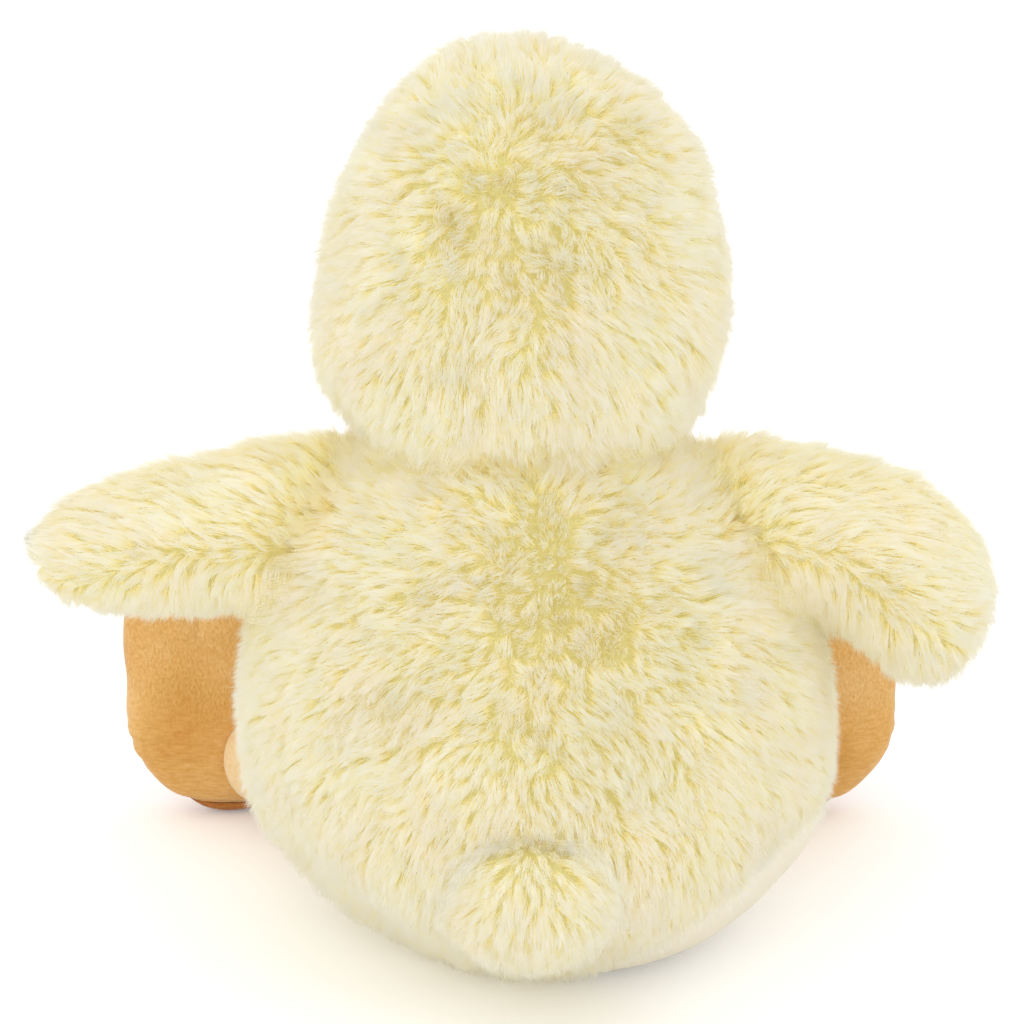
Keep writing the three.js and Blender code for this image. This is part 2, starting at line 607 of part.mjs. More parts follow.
/** The tail: its cover and the fibre that turns in the rump seam. */
function tail() {
  const direction = new THREE.Vector3(0, Math.cos(rad(TAIL_RISE)), Math.sin(rad(TAIL_RISE)));
  const form = {
    curve: new THREE.LineCurve3(TAIL_ROOT, TAIL_ROOT.clone().addScaledVector(direction, TAIL_LENGTH)),
    side: X,
    halfTall: TAIL_HALF_TALL,
    halfWide: TAIL_HALF_WIDTH,
    rootShare: 0.8,
    blunt: 2.4,
  };
  const clear = (shape) => clearedOf(shape, bodySurround, TAIL_ROOT, X, -TAIL_SWING, TAIL_SWING);
  const shell = clear(limb(form).subtract(limb(form, FUR_DEPTH))).subtract(hollow(TAIL_ROOT, TAIL_ROOT_RADIUS));
  const fill = clear(limb(form, FUR_DEPTH + FIT)).add(ball(TAIL_ROOT, TAIL_ROOT_RADIUS));
  const group = new THREE.Group();
  group.add(piece('tail_cover', shell, FUR));
  group.add(piece('tail_stuffing', fill, STUFFING));
  return group;
}

const duckling = new THREE.Group();
duckling.name = 'plush_duckling';
duckling.add(body());
duckling.add(piece('neck_stuffing', ball(NECK_CENTRE, NECK_RADIUS, AROUND_NECK), STUFFING));
duckling.add(head());
duckling.add(wing('left', 1, WING_LEFT));
duckling.add(wing('right', -1, WING_RIGHT));
duckling.add(leg('left', 1, FOOT_LEFT_X));
duckling.add(leg('right', -1, FOOT_RIGHT_X));
duckling.add(tail());

export default duckling;
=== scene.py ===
"""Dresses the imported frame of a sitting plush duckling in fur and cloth, and lights it in a studio."""

import logging
import math
from dataclasses import dataclass, field
from enum import Enum
from typing import Callable, Optional, Sequence, Union

import bpy
import numpy as np
from mathutils import Matrix, Vector, noise
from mathutils.bvhtree import BVHTree
from mathutils.kdtree import KDTree


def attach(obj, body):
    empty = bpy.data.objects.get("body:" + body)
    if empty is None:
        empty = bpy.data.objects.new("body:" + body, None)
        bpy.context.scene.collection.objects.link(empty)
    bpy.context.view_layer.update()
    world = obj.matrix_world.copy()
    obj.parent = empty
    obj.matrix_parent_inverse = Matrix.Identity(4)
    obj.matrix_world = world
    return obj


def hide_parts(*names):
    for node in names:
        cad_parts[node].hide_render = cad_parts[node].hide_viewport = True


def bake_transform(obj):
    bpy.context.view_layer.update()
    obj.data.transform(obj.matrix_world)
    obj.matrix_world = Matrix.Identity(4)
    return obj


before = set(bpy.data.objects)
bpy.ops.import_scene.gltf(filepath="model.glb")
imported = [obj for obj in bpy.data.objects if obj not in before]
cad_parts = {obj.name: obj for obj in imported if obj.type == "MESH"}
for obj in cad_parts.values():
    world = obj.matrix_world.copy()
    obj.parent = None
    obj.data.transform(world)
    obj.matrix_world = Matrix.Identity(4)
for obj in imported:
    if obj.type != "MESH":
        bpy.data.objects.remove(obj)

LOG = logging.getLogger("duckling")
MM = 0.001
FIBRE_MAP = "OFBake"  # the fibres' own map: across it the tuft's tone, up it the way from root to tip
Points = np.ndarray
Colour = tuple[float, float, float, float]


def linear(code: str) -> Colour:
    """Turn a colour written as on screen into the renderer's linear values.

    Args:
        code: Six hexadecimal digits.

    Returns:
        Red, green, blue and alpha, linear.
    """
    parts = [int(code[i:i + 2], 16) / 255 for i in (0, 2, 4)]
    return (*[p / 12.92 if p <= 0.04045 else ((p + 0.055) / 1.055) ** 2.4 for p in parts], 1.0)


def unit(vectors: Points) -> Points:
    """Scale each row to length one."""
    return vectors / np.maximum(np.linalg.norm(vectors, axis=-1, keepdims=True), 1e-12)


def smoothstep(low: float, high: float, value: Points) -> Points:
    """Rise smoothly from 0 at low to 1 at high."""
    t = np.clip((value - low) / (high - low), 0, 1)
    return t * t * (3 - 2 * t)


def fuller(value: Points, power: float) -> Points:
    """Raise a sine or cosine to 2 / power with its sign kept, which makes an ellipse fuller."""
    return np.sign(value) * np.abs(value) ** (2 / power)


def mottle(points: Points, patch: float, seed: int) -> Points:
    """Read smooth noise at points.

    Args:
        points: Places, one a row.
        patch: The size of a patch.
        seed: Picks one noise of many.

    Returns:
        A number from about -1 to 1 for each point.
    """
    shift = Vector((17.3 * seed, 5.1 * seed, -9.7 * seed))
    return np.array([noise.noise(Vector(p) / patch + shift) for p in points])


class Slot(Enum):
    """The record's material slots."""

    FUR = "fur"
    BASE = "base_cloth"
    ORANGE = "orange_velboa"
    SOLE = "sole_velboa"
    PEACH = "peach_velboa"
    STUFFING = "stuffing"
    BAG = "bag_cloth"
    EYE = "eye_plastic"
    WASHER = "washer_plastic"


class Side(Enum):
    """The toy's own left or right, as the sign of X."""

    LEFT = 1
    RIGHT = -1

    @property
    def word(self) -> str:
        """The side's name in pieces and bodies."""
        return self.name.lower()


class Value:
    """A socket that carries numbers, on which Python's operators add Math nodes."""

    def __init__(self, shader: "Shader", socket: bpy.types.NodeSocket) -> None:
        """Keep the shader and the socket."""
        self.shader = shader
        self.socket = socket

    def math(self, operation: str, *others: Union["Value", float]) -> "Value":
        """Add a Math node.

        Args:
            operation: Its operation.
            *others: What goes into its other sockets, in order.

        Returns:
            The node's result.
        """
        inputs = dict(enumerate((self, *others)))
        made = self.shader.node("ShaderNodeMath", {"operation": operation}, inputs)
        return Value(self.shader, made.outputs[0])

    def __add__(self, other: Union["Value", float]) -> "Value":
        """Add."""
        return self.math("ADD", other)

    def __sub__(self, other: Union["Value", float]) -> "Value":
        """Subtract."""
        return self.math("SUBTRACT", other)

    def __rsub__(self, other: float) -> "Value":
        """Subtract from a number."""
        return (self * -1).math("ADD", other)

    def __mul__(self, other: Union["Value", float]) -> "Value":
        """Multiply."""
        return self.math("MULTIPLY", other)

    def between(self, low: float, high: float) -> "Value":
        """Rise smoothly from 0 at low to 1 at high."""
        made = self.shader.node(
            "ShaderNodeMapRange",
            {"interpolation_type": "SMOOTHSTEP"},
            {"Value": self, "From Min": low, "From Max": high},
        )
        return Value(self.shader, made.outputs[0])


Feed = Union[Value, bpy.types.NodeSocket, float, Sequence[float]]


class Shader:
    """A node material under construction, with one Principled surface."""

    def __init__(self, name: str, roughness: float, **constants: float) -> None:
        """Start the material.

        Args:
            name: The material's name.
            roughness: The surface's roughness.
            **constants: Values of other sockets, with _ for a space.
        """
        self.material = bpy.data.materials.new(name)
        self.material.use_nodes = True
        self.tree = self.material.node_tree
        self.surface = self.tree.nodes["Principled BSDF"]
        self.surface.inputs["Roughness"].default_value = roughness
        for socket, value in constants.items():
            self.surface.inputs[socket.replace("_", " ")].default_value = value

    def node(
        self, kind: str, settings: Optional[dict] = None, inputs: Optional[dict] = None
    ) -> bpy.types.Node:
        """Add a node.

        Args:
            kind: The node's type.
            settings: Its own settings, set first; "stops" are a ramp's stops.
            inputs: Values or links of its sockets, by name or number.

        Returns:
            The node.
        """
        made = self.tree.nodes.new(kind)
        for key, value in (settings or {}).items():
            if key == "stops":
                self._stops(made.color_ramp, value)
            else:
                setattr(made, key, value)
        for key, value in (inputs or {}).items():
            self.feed(made.inputs[key], value)
        return made

    def feed(self, socket: bpy.types.NodeSocket, value: Feed) -> None:
        """Link a socket to another, or set its value."""
        if isinstance(value, Value):
            value = value.socket
        if isinstance(value, bpy.types.NodeSocket):
            self.tree.links.new(value, socket)
        else:
            socket.default_value = value

    @staticmethod
    def _stops(ramp: bpy.types.ColorRamp, stops: Sequence[tuple[float, Colour]]) -> None:
        """Set a ramp's stops."""
        while len(ramp.elements) < len(stops):
            ramp.elements.new(0.5)
        for element, (place, colour) in zip(ramp.elements, stops):
            element.position = place
            element.color = colour

    def place(self) -> bpy.types.NodeSocket:
        """The place on the piece, in metres."""
        return self.node("ShaderNodeTexCoord").outputs["Object"]

    def grain(self, size: float, detail: float = 2, stretch: Sequence[float] = (1, 1, 1)) -> Value:
        """Noise from 0 to 1.

        Args:
            size: The size of a patch.
            detail: How many finer layers it has.
            stretch: How often it repeats along each axis, against the others.

        Returns:
            The noise.
        """
        mapped = self.node("ShaderNodeMapping", {}, {"Vector": self.place(), "Scale": stretch})
        made = self.node(
            "ShaderNodeTexNoise", {}, {"Vector": mapped.outputs[0], "Scale": 1 / size, "Detail": detail}
        )
        return Value(self, made.outputs["Fac"])

    def mix(self, share: Feed, first: Feed, second: Feed) -> bpy.types.NodeSocket:
        """Mix two colours by a share from 0 to 1."""
        made = self.node("ShaderNodeMix", {"data_type": "RGBA"}, {0: share, 6: first, 7: second})
        return made.outputs[2]

    def colour(self, value: Feed) -> None:
        """Set the surface's colour."""
        self.feed(self.surface.inputs["Base Color"], value)

    def let_through(self, colour: Feed, share: float) -> None:
        """Let a share of the light pass through the surface."""
        through = self.node("ShaderNodeBsdfTranslucent", {}, {"Color": colour})
        inputs = {0: share, 1: self.surface.outputs[0], 2: through.outputs[0]}
        mixed = self.node("ShaderNodeMixShader", {}, inputs)
        self.feed(self.tree.nodes["Material Output"].inputs["Surface"], mixed.outputs[0])

    def relief(self, height: Value, depth: float, strength: float = 1) -> None:
        """Give the surface a relief.

        Args:
            height: From 0 to 1.
            depth: How deep the relief is.
            strength: How strongly it shows.
        """
        made = self.node("ShaderNodeBump", {}, {"Height": height, "Distance": depth, "Strength": strength})
        self.feed(self.surface.inputs["Normal"], made.outputs[0])


@dataclass(frozen=True)
class FurFinish:
    """Fibres of the fur: yellow at the root, nearly white at the tip, in cooler and warmer tufts. The roots'
    deeper yellow is partly the fibres' own colour and partly painted shade deep in the pile, and a painted
    glow at the roots lightens that shade.
    """

    # The deeper yellow at the roots is partly the fibres' own colour and partly painted shade deep in the
    # pile.
    cool: tuple = ((0.0, "F8EFAC"), (0.3, "FBF9DC"), (0.6, "FDFDF6"), (1.0, "FDFEFD"))
    warm: tuple = ((0.0, "F9E9AC"), (0.3, "FBF4D8"), (0.6, "FDFBF4"), (1.0, "FDFDFC"))
    # Painted light: an emission ramp, strong at the root and gone at the tip, painted in to lighten the shade
    # deep in the pile.
    glow: tuple = ((0.0, "A89C70"), (0.55, "6C6858"), (1.0, "161616"))
    through: float = 0.5

    @staticmethod
    def ramp(made: Shader, along: Feed, stops: tuple) -> bpy.types.NodeSocket:
        """Colours along the fibre, from its root to its tip."""
        settings = {"stops": [(at, linear(code)) for at, code in stops]}
        return made.node("ShaderNodeValToRGB", settings, {"Fac": along}).outputs["Color"]

    def material(self) -> bpy.types.Material:
        """Make the material.

        Returns:
            The material.
        """
        made = Shader("fur_fibres", 0.75, Sheen_Weight=0.15, Sheen_Roughness=0.5, Specular_IOR_Level=0.2)
        uv = made.node("ShaderNodeUVMap", {"uv_map": FIBRE_MAP}).outputs[0]
        split = made.node("ShaderNodeSeparateXYZ", {}, {0: uv})
        along = split.outputs["Y"]
        ramps = [self.ramp(made, along, stops) for stops in (self.cool, self.warm)]
        colour = made.mix(split.outputs["X"], *ramps)
        made.colour(colour)
        # Painted glow: the fibres give off light at their roots, as a fill for the shade in the pile; they
        # are no lamp.
        made.feed(made.surface.inputs["Emission Color"], self.ramp(made, along, self.glow))
        made.surface.inputs["Emission Strength"].default_value = 1.0
        made.let_through(colour, self.through)
        return made.material


@dataclass(frozen=True)
class BackingFinish:
    """The knitted back of the fur fabric, seen only between the tufts."""

    dark: str = "CFC06A"
    pale: str = "F2E9AE"
    stitch: float = 0.9 * MM
    relief: float = 0.3 * MM

    def material(self) -> bpy.types.Material:
        """Make the material.

        Returns:
            The material.
        """
        made = Shader("fur_backing", 0.95)
        stitches = made.grain(self.stitch)
        made.colour(made.mix(stitches, linear(self.dark), linear(self.pale)))
        made.relief(stitches, self.relief)
        return made.material


@dataclass(frozen=True)
class VelboaFinish:
    """Short-pile fabric, whose knitted ribs show as fine crinkles. The colour follows the crinkles' relief,
    darker in their hollows as painted shade, over the fabric's own patchy tone.
    """

    name: str
    deep: str
    middle: str
    pale: str
    rib: float = 1.1 * MM
    rib_stretch: tuple[float, float, float] = (1.5, 1.0, 0.85)
    wrinkle: float = 1.32 * MM
    wrinkle_stretch: tuple[float, float, float] = (0.35, 0.5, 1.3)
    wrinkle_share: float = 0.7
    wrinkled_below: float = 30 * MM
    smooth_above: float = 48 * MM
    patch: float = 34 * MM
    contrast: float = 0.9
    middle_tone: float = 0.55
    relief: float = 0.7 * MM

    def material(self) -> bpy.types.Material:
        """Make the material.

        Returns:
            The material.
        """
        made = Shader(self.name, 0.85, Sheen_Weight=0.35, Sheen_Roughness=0.4, Specular_IOR_Level=0.25)
        broad = made.grain(self.patch, 1)
        ribs = made.grain(self.rib, 3, self.rib_stretch)
        wrinkles = made.grain(self.wrinkle, 2, self.wrinkle_stretch)
        height = Value(made, made.node("ShaderNodeSeparateXYZ", {}, {0: made.place()}).outputs["Z"])
        low = height.between(self.smooth_above, self.wrinkled_below)
        crinkle = ribs * (1 - low * self.wrinkle_share) + wrinkles * low * self.wrinkle_share
        # Painted shade: the tone falls with the crinkles' relief, so their hollows are painted darker; the
        # broad patches are the fabric's own uneven tone.
        tone = (broad - 0.5) * self.contrast + (crinkle - 0.5) * self.contrast + self.middle_tone
        ramp = made.node(
            "ShaderNodeValToRGB",
            {"stops": [(0.12, linear(self.deep)), (0.5, linear(self.middle)), (0.9, linear(self.pale))]},
            {"Fac": tone},
        )
        made.colour(ramp.outputs["Color"])
        made.relief(crinkle, self.relief, 0.8)
        return made.material


@dataclass(frozen=True)
class ClothFinish:
    """Smooth plain cloth with a fine knit."""

    name: str
    shade: str
    pale: str
    knit: float = 0.5 * MM
    patch: float = 30 * MM
    patch_share: float = 0.7
    relief: float = 0.12 * MM

    def material(self) -> bpy.types.Material:
        """Make the material.

        Returns:
            The material.
        """
        made = Shader(self.name, 0.9, Sheen_Weight=0.1)
        broad = made.grain(self.patch, 2)
        knit = made.grain(self.knit, 1)
        tone = broad * self.patch_share + knit * (1 - self.patch_share)
        made.colour(made.mix(tone, linear(self.shade), linear(self.pale)))
        made.relief(knit, self.relief, 0.6)
        return made.material


@dataclass(frozen=True)
class PlasticFinish:
    """Moulded plastic."""

    name: str
    dark: str
    pale: str
    roughness: float
    coat: float = 0.0
    grain: float = 2.5 * MM

    def material(self) -> bpy.types.Material:
        """Make the material.

        Returns:
            The material.
        """
        made = Shader(self.name, self.roughness, Coat_Weight=self.coat, Coat_Roughness=0.05)
        made.colour(made.mix(made.grain(self.grain, 3), linear(self.dark), linear(self.pale)))
        return made.material


@dataclass(frozen=True)
class Finishes:
    """Every material of the toy."""

    made: dict[Slot, bpy.types.Material] = field(default_factory=lambda: {
        Slot.FUR: FurFinish().material(),
        Slot.BASE: ClothFinish("base_cloth", "F2E8D0", "FAF2DE").material(),
        Slot.ORANGE: VelboaFinish("orange_velboa", "D28F3C", "E6B166", "F8CE90").material(),
        # The sole's darker orange-brown is partly the fabric's own colour and partly painted shade under the
        # heel.
        Slot.SOLE: VelboaFinish("sole_velboa", "8E5620", "BA7638", "D49658").material(),
        Slot.PEACH: VelboaFinish("peach_velboa", "E4AC62", "F2CA90", "FAE3B2").material(),
        Slot.STUFFING: ClothFinish("stuffing", "E6E6E0", "FAFAF6", 1.2 * MM).material(),
        Slot.BAG: ClothFinish("bag_cloth", "D2CFC2", "E8E6DE", 0.8 * MM).material(),
        Slot.EYE: PlasticFinish("eye_plastic", "0B0706", "1E1210", 0.12, 1.0).material(),
        Slot.WASHER: PlasticFinish("washer_plastic", "DCDCD6", "EFEFEA", 0.45).material(),
    })
    backing: bpy.types.Material = field(default_factory=lambda: BackingFinish().material())


@dataclass(frozen=True)
class Lump:
    """A place where the stuffing stands out, or is drawn in if rise is negative."""

    centre: tuple[float, float, float]
    reach: float
    rise: float


class Form:
    """A closed stuffed shape, made from a ball whose points are moved."""

    lumps: tuple[Lump, ...] = ()

    def at(self, ball: Points, inset: float) -> Points:
        """Where each point of a unit ball comes to lie.

        Args:
            ball: Points on the unit ball.
            inset: How far within the outer form.

        Returns:
            The moved points.
        """
        raise NotImplementedError

    def shaped(self, ball: Points, inset: float) -> Points:
        """Move the points of a unit ball onto the form, with its lumps.

        Args:
            ball: Places on the unit ball.
            inset: How far within the outer form.

        Returns:
            Places on the form.
        """
        places = self.at(ball, inset)
        if self.lumps:
            lowest = places[:, 2].min()
            outward = unit(places - places.mean(axis=0))
            for lump in self.lumps:
                away = np.linalg.norm(places - np.array(lump.centre), axis=1) / lump.reach
                places = places + outward * (lump.rise * np.exp(-away**2))[:, None]
            places[:, 2] = np.maximum(places[:, 2], lowest)
        return places


@dataclass(frozen=True)
class Egg(Form):
    """An egg with its own height and fullness above and below its widest ring."""

    centre: tuple[float, float, float]
    half_width: float
    half_depth: float
    up: float
    down: float
    up_power: float
    down_power: float
    lean: float = 0.0
    floor: Optional[float] = None
    lumps: tuple[Lump, ...] = ()

    def at(self, ball: Points, inset: float) -> Points:
        """See Form.

        Args:
            ball: Places on the unit ball.
            inset: How far within the outer form.

        Returns:
            Places on the form.
        """
        above = ball[:, 2] >= 0
        power = np.where(above, self.up_power, self.down_power)
        height = np.where(above, self.up, self.down) - inset
        across = np.sqrt(np.maximum(1 - ball[:, 2] ** 2, 0))
        share = across ** (2 / power)
        rise = np.sign(ball[:, 2]) * np.abs(ball[:, 2]) ** (2 / power) * height
        around = ball[:, :2] / np.maximum(across, 1e-9)[:, None]
        places = np.column_stack((
            (self.half_width - inset) * share * around[:, 0] + rise * self.lean,
            (self.half_depth - inset) * share * around[:, 1],
            rise,
        )) + np.array(self.centre)
        if self.floor is not None:
            places[:, 2] = np.maximum(places[:, 2], self.floor)
        return places


@dataclass(frozen=True)
class Limb(Form):
    """A stuffed limb along a curve of three points: it swells from its root and rounds off at its tip."""

    start: tuple[float, float, float]
    bend: tuple[float, float, float]
    tip: tuple[float, float, float]
    side: tuple[float, float, float]
    half_tall: float
    half_wide: float
    root_share: float
    blunt: float
    root_cap: float = 0.12
    swell_reach: float = 0.35
    lumps: tuple[Lump, ...] = ()

    def middle(self, along: Points) -> tuple[Points, Points]:
        """Points and unit tangents of the middle line, at shares of its length."""
        a, b, c = (np.array(p) for p in (self.start, self.bend, self.tip))
        t = along[:, None]
        place = a * (1 - t) ** 2 + b * 2 * t * (1 - t) + c * t**2
        return place, unit((b - a) * (1 - t) + (c - b) * t)

    def along(self, points: Points) -> Points:
        """The share of the length at which each point lies."""
        shares = np.linspace(0, 1, 41)
        line, _ = self.middle(shares)
        away = np.linalg.norm(points[:, None, :] - line[None], axis=2)
        return shares[away.argmin(axis=1)]

    def at(self, ball: Points, inset: float) -> Points:
        """See Form.

        Args:
            ball: Places on the unit ball.
            inset: How far within the outer form.

        Returns:
            Places on the form.
        """
        length = np.linalg.norm(np.array(self.tip) - np.array(self.start))
        turn = np.arccos(np.clip(-ball[:, 2], -1, 1)) / np.pi
        along = np.sin(turn * np.pi / 2) * (1 - inset / length)
        place, tangent = self.middle(along)
        across = unit(np.array(self.side) - tangent * (tangent @ np.array(self.side))[:, None])
        above = np.cross(tangent, across)
        swell = self.root_share + (1 - self.root_share) * smoothstep(0, self.swell_reach, along)
        end = along / (1 - inset / length)
        taper = np.maximum(1 - end**self.blunt, 0) ** (1 / self.blunt)
        cap = np.sqrt(np.clip(1 - (1 - np.clip(turn / self.root_cap, 0, 1)) ** 2, 0, 1))
        around = unit(ball[:, :2] + 1e-12)
        wide = (self.half_wide * swell - inset) * taper * cap * around[:, 0]
        tall = (self.half_tall * swell - inset) * taper * cap * around[:, 1]
        return place + across * wide[:, None] + above * tall[:, None]


class Skin:
    """A smooth closed mesh of a form, with what is needed to find the nearest place on it."""

    def __init__(self, name: str, form: Form, inset: float, segments: int = 96, rings: int = 64) -> None:
        """Add a ball and move its points onto the form.

        Args:
            name: The piece's name.
            form: The shape.
            inset: How far within the outer form.
            segments: Faces round the ball.
            rings: Faces from pole to pole.
        """
        bpy.ops.object.select_all(action="DESELECT")
        bpy.ops.mesh.primitive_uv_sphere_add(segments=segments, ring_count=rings, radius=1)
        self.piece = bpy.context.object
        self.piece.name = name
        self.piece.data.name = name
        mesh = self.piece.data
        mesh.vertices.foreach_set("co", form.shaped(vertex_places(mesh), inset).astype(np.float32).ravel())
        mesh.update()
        bpy.ops.object.shade_smooth()
        self.refresh()

    def refresh(self) -> None:
        """Read the mesh again after its points have moved.

        Blender lists the faces of a new ball in another order from run to run. They are put in one order
        here, and the normals come from them, so that the same pile grows every time.
        """
        mesh = self.piece.data
        self.places = vertex_places(mesh)
        self.faces = triangles_in_order(mesh)
        self.normals = normals_at_points(self.places, self.faces)
        self.tree = BVHTree.FromPolygons(self.places.tolist(), self.faces.tolist())

    def nearest(self, points: Points) -> tuple[Points, Points]:
        """The nearest place on the skin to each point, and the outward normal there."""
        found = [self.tree.find_nearest(p) for p in points]
        return np.array([f[0] for f in found]), np.array([f[1] for f in found])

    def height(self, points: Points) -> tuple[Points, Points]:
        """How far each point stands out from the skin, negative within, and the normal there."""
        places, normals = self.nearest(points)
        return ((points - places) * normals).sum(axis=1), normals


def vertex_places(mesh: bpy.types.Mesh) -> Points:
    """A mesh's points, one a row."""
    places = np.zeros(len(mesh.vertices) * 3, np.float32)
    mesh.vertices.foreach_get("co", places)
    return places.reshape(-1, 3).astype(float)


def triangles_in_order(mesh: bpy.types.Mesh) -> np.ndarray:
    """A mesh's triangles, in an order that rests on the numbers of their points alone.

    Args:
        mesh: A closed mesh.

    Returns:
        Three point numbers a row.
    """
    rows = []
    for polygon in mesh.polygons:
        corners = list(polygon.vertices)
        first = corners.index(min(corners))
        corners = corners[first:] + corners[:first]
        rows += [(corners[0], corners[k], corners[k + 1]) for k in range(1, len(corners) - 1)]
    return np.array(sorted(rows), np.int32)


def normals_at_points(places: Points, faces: np.ndarray) -> Points:
    """The outward normal at each point: its triangles' normals, weighed by their angles there.

    Args:
        places: The points, one a row.
        faces: Three point numbers a row.

    Returns:
        One normal a row.
    """
    normals = np.zeros_like(places)
    corners = places[faces]
    flat = unit(np.cross(corners[:, 1] - corners[:, 0], corners[:, 2] - corners[:, 0]))
    for k in range(3):
        ahead = unit(corners[:, (k + 1) % 3] - corners[:, k])
        back = unit(corners[:, k - 1] - corners[:, k])
        angle = np.arccos(np.clip((ahead * back).sum(axis=1), -1, 1))
        for axis in range(3):
            normals[:, axis] += np.bincount(faces[:, k], flat[:, axis] * angle, len(places))
    return unit(normals)


def dress(piece: bpy.types.Object, material: bpy.types.Material) -> bpy.types.Object:
    """Give a piece its material."""
    piece.data.materials.clear()
    piece.data.materials.append(material)
    return piece


@dataclass(frozen=True)
class Parting:
    """A seam from which the pile leans away to both sides."""

    place: float
    width: float
    strength: float
    patch: float = 26 * MM
    middle: float = 0.5
    uneven: float = 1.6
    most: float = 1.5
    seed: int = 41

    def lean(self, points: Points) -> Points:
        """How far the pile leans to each side of the seam at each point."""
        beside = points[:, 0] - self.place
        upright = np.column_stack((np.zeros(len(points)), points[:, 1:]))
        strength = self.middle + self.uneven * mottle(upright, self.patch, self.seed)
        strength = self.strength * np.clip(strength, 0, self.most)
        return strength * np.sign(beside) * np.exp(-np.abs(beside) / self.width)


@dataclass(frozen=True)
class Nap:
    """Which way the pile lies: away from one place, then down, with partings along upright seams."""

    source: tuple[float, float, float]
    stand_reach: float
    stand_most: float = 0.74
    down: float = 0.4
    front_down: float = 1.4
    front_across: float = 4.0
    front_from: float = 10 * MM
    front_to: float = -30 * MM
    partings: tuple[Parting, ...] = ()

    def flow(self, points: Points, normals: Points) -> Points:
        """Direction of the pile along the surface at each point.

        Args:
            points: Places on the skin.
            normals: The outward normals there.

        Returns:
            Directions of length one.
        """
        away = points - np.array(self.source)
        direction = unit(away)
        direction[:, 2] -= self.down
        front = smoothstep(self.front_from, self.front_to, points[:, 1])[:, None]
        level = np.zeros(len(points))
        frontal = np.column_stack((points[:, 0] * self.front_across, level, level - self.front_down))
        direction = direction * (1 - front) + frontal * front
        for parting in self.partings:
            direction[:, 0] += parting.lean(points)
        return tangential(direction, normals)

    def stand(self, points: Points) -> Points:
        """How upright the pile stands, from 0 to 1."""
        away = np.linalg.norm(points - np.array(self.source), axis=1)
        return self.stand_most * np.exp(-((away / self.stand_reach) ** 2))


@dataclass(frozen=True)
class WingNap:
    """The wing's pile lies outwards and away from the seam, and hangs below it."""

    limb: Limb
    outward: float = 0.9
    under_outward: float = 0.35
    over: float = 0.8
    hang: float = 1.4
    under_from: float = -11 * MM
    over_from: float = 7 * MM
    seam_stand: float = 0.45
    seam_reach: float = 6 * MM
    hang_stand: float = 0.55
    hang_from: float = -10 * MM
    hang_to: float = -24 * MM

    def flow(self, points: Points, normals: Points) -> Points:
        """Direction of the pile along the surface at each point.

        Args:
            points: Places on the skin.
            normals: The outward normals there.

        Returns:
            Directions of length one.
        """
        place, tangent = self.limb.middle(self.limb.along(points))
        height = points[:, 2] - place[:, 2]
        upper = smoothstep(self.under_from, self.over_from, height)[:, None]
        over = np.zeros_like(points)
        over[:, 2] = self.over * (1 - np.abs(normals[:, 2]))
        hang = np.zeros_like(points)
        hang[:, 2] = -self.hang
        outward = self.outward * upper + self.under_outward * (1 - upper)
        direction = tangent * outward + over * upper + hang * (1 - upper)
        return tangential(direction, normals)

    def stand(self, points: Points) -> Points:
        """How upright the pile stands, from 0 to 1: beside the seam, and where it hangs under the wing."""
        place, _ = self.limb.middle(self.limb.along(points))
        height = points[:, 2] - place[:, 2]
        under = self.hang_stand * smoothstep(self.hang_from, self.hang_to, height)
        return np.maximum(under, self.seam_stand * np.exp(-((height / self.seam_reach) ** 2)))


@dataclass(frozen=True)
class TailNap:
    """The tail's pile fans out from its tip."""

    tip: tuple[float, float, float]
    down: float = 0.5
    stand_most: float = 0.4
    stand_reach: float = 16 * MM

    def flow(self, points: Points, normals: Points) -> Points:
        """Direction of the pile along the surface at each point.

        Args:
            points: Places on the skin.
            normals: The outward normals there.

        Returns:
            Directions of length one.
        """
        away = points - np.array(self.tip)
        direction = unit(away)
        direction[:, 2] -= self.down
        return tangential(direction, normals)

    def stand(self, points: Points) -> Points:
        """How upright the pile stands, from 0 to 1."""
        away = np.linalg.norm(points - np.array(self.tip), axis=1)
        return self.stand_most * np.exp(-((away / self.stand_reach) ** 2))


def tangential(direction: Points, normals: Points) -> Points:
    """Lay directions flat on a surface, at length one."""
    return unit(direction - normals * (direction * normals).sum(axis=1)[:, None])


@dataclass(frozen=True)
class Patches:
    """Smooth noise over a skin: how strong it is, how large its patches are, and which noise it is."""

    strength: float
    size: float
    number: int

    def at(self, points: Points, seed: int) -> Points:
        """The noise at points, for a skin's own seed."""
        return self.strength * mottle(points, self.size, seed + self.number)


@dataclass(frozen=True)
class Habit:
    """How unlike one another the tufts, and the locks that they gather in, are."""

    fine_swirl: float = 0.5
    fine_patch: float = 0.4
    whorls: Patches = Patches(2.0, 9 * MM, 7)
    waves: Patches = Patches(math.radians(16.5), 8 * MM, 2)
    wave_scatter: float = 0.6
    lengths: Patches = Patches(0.16, 12 * MM, 3)
    length_scatter: float = 0.05
    lock_length: float = 0.09
    stand_length: float = -0.12
    lock_rise: tuple[float, float] = (0.35, 0.65)
    laid_share: float = 0.3
    pulls: Patches = Patches(0.2, 20 * MM, 4)
    pull_most: float = 0.92
    pull_power: float = 1.3
    tone: float = 0.45
    broad_tone: Patches = Patches(0.5, 22 * MM, 5)
    fine_tone: Patches = Patches(0.25, 7 * MM, 6)
    tuft_tone: float = 0.06
    lock_tone: float = 0.1
    tone_ends: tuple[float, float] = (0.03, 0.97)


@dataclass(frozen=True)
class Strip:
    """How one fibre is drawn: a strip of two widths and a point, lit as if it were round."""

    roll: float = 9.0
    widths: tuple[float, float] = (0.75, 0.5)
    root_width: float = 0.85
    outward: float = 1.5
    bulge: float = 0.15
    map_width: float = 0.012
    map_rows: tuple[float, float, float] = (0.02, 0.5, 0.98)


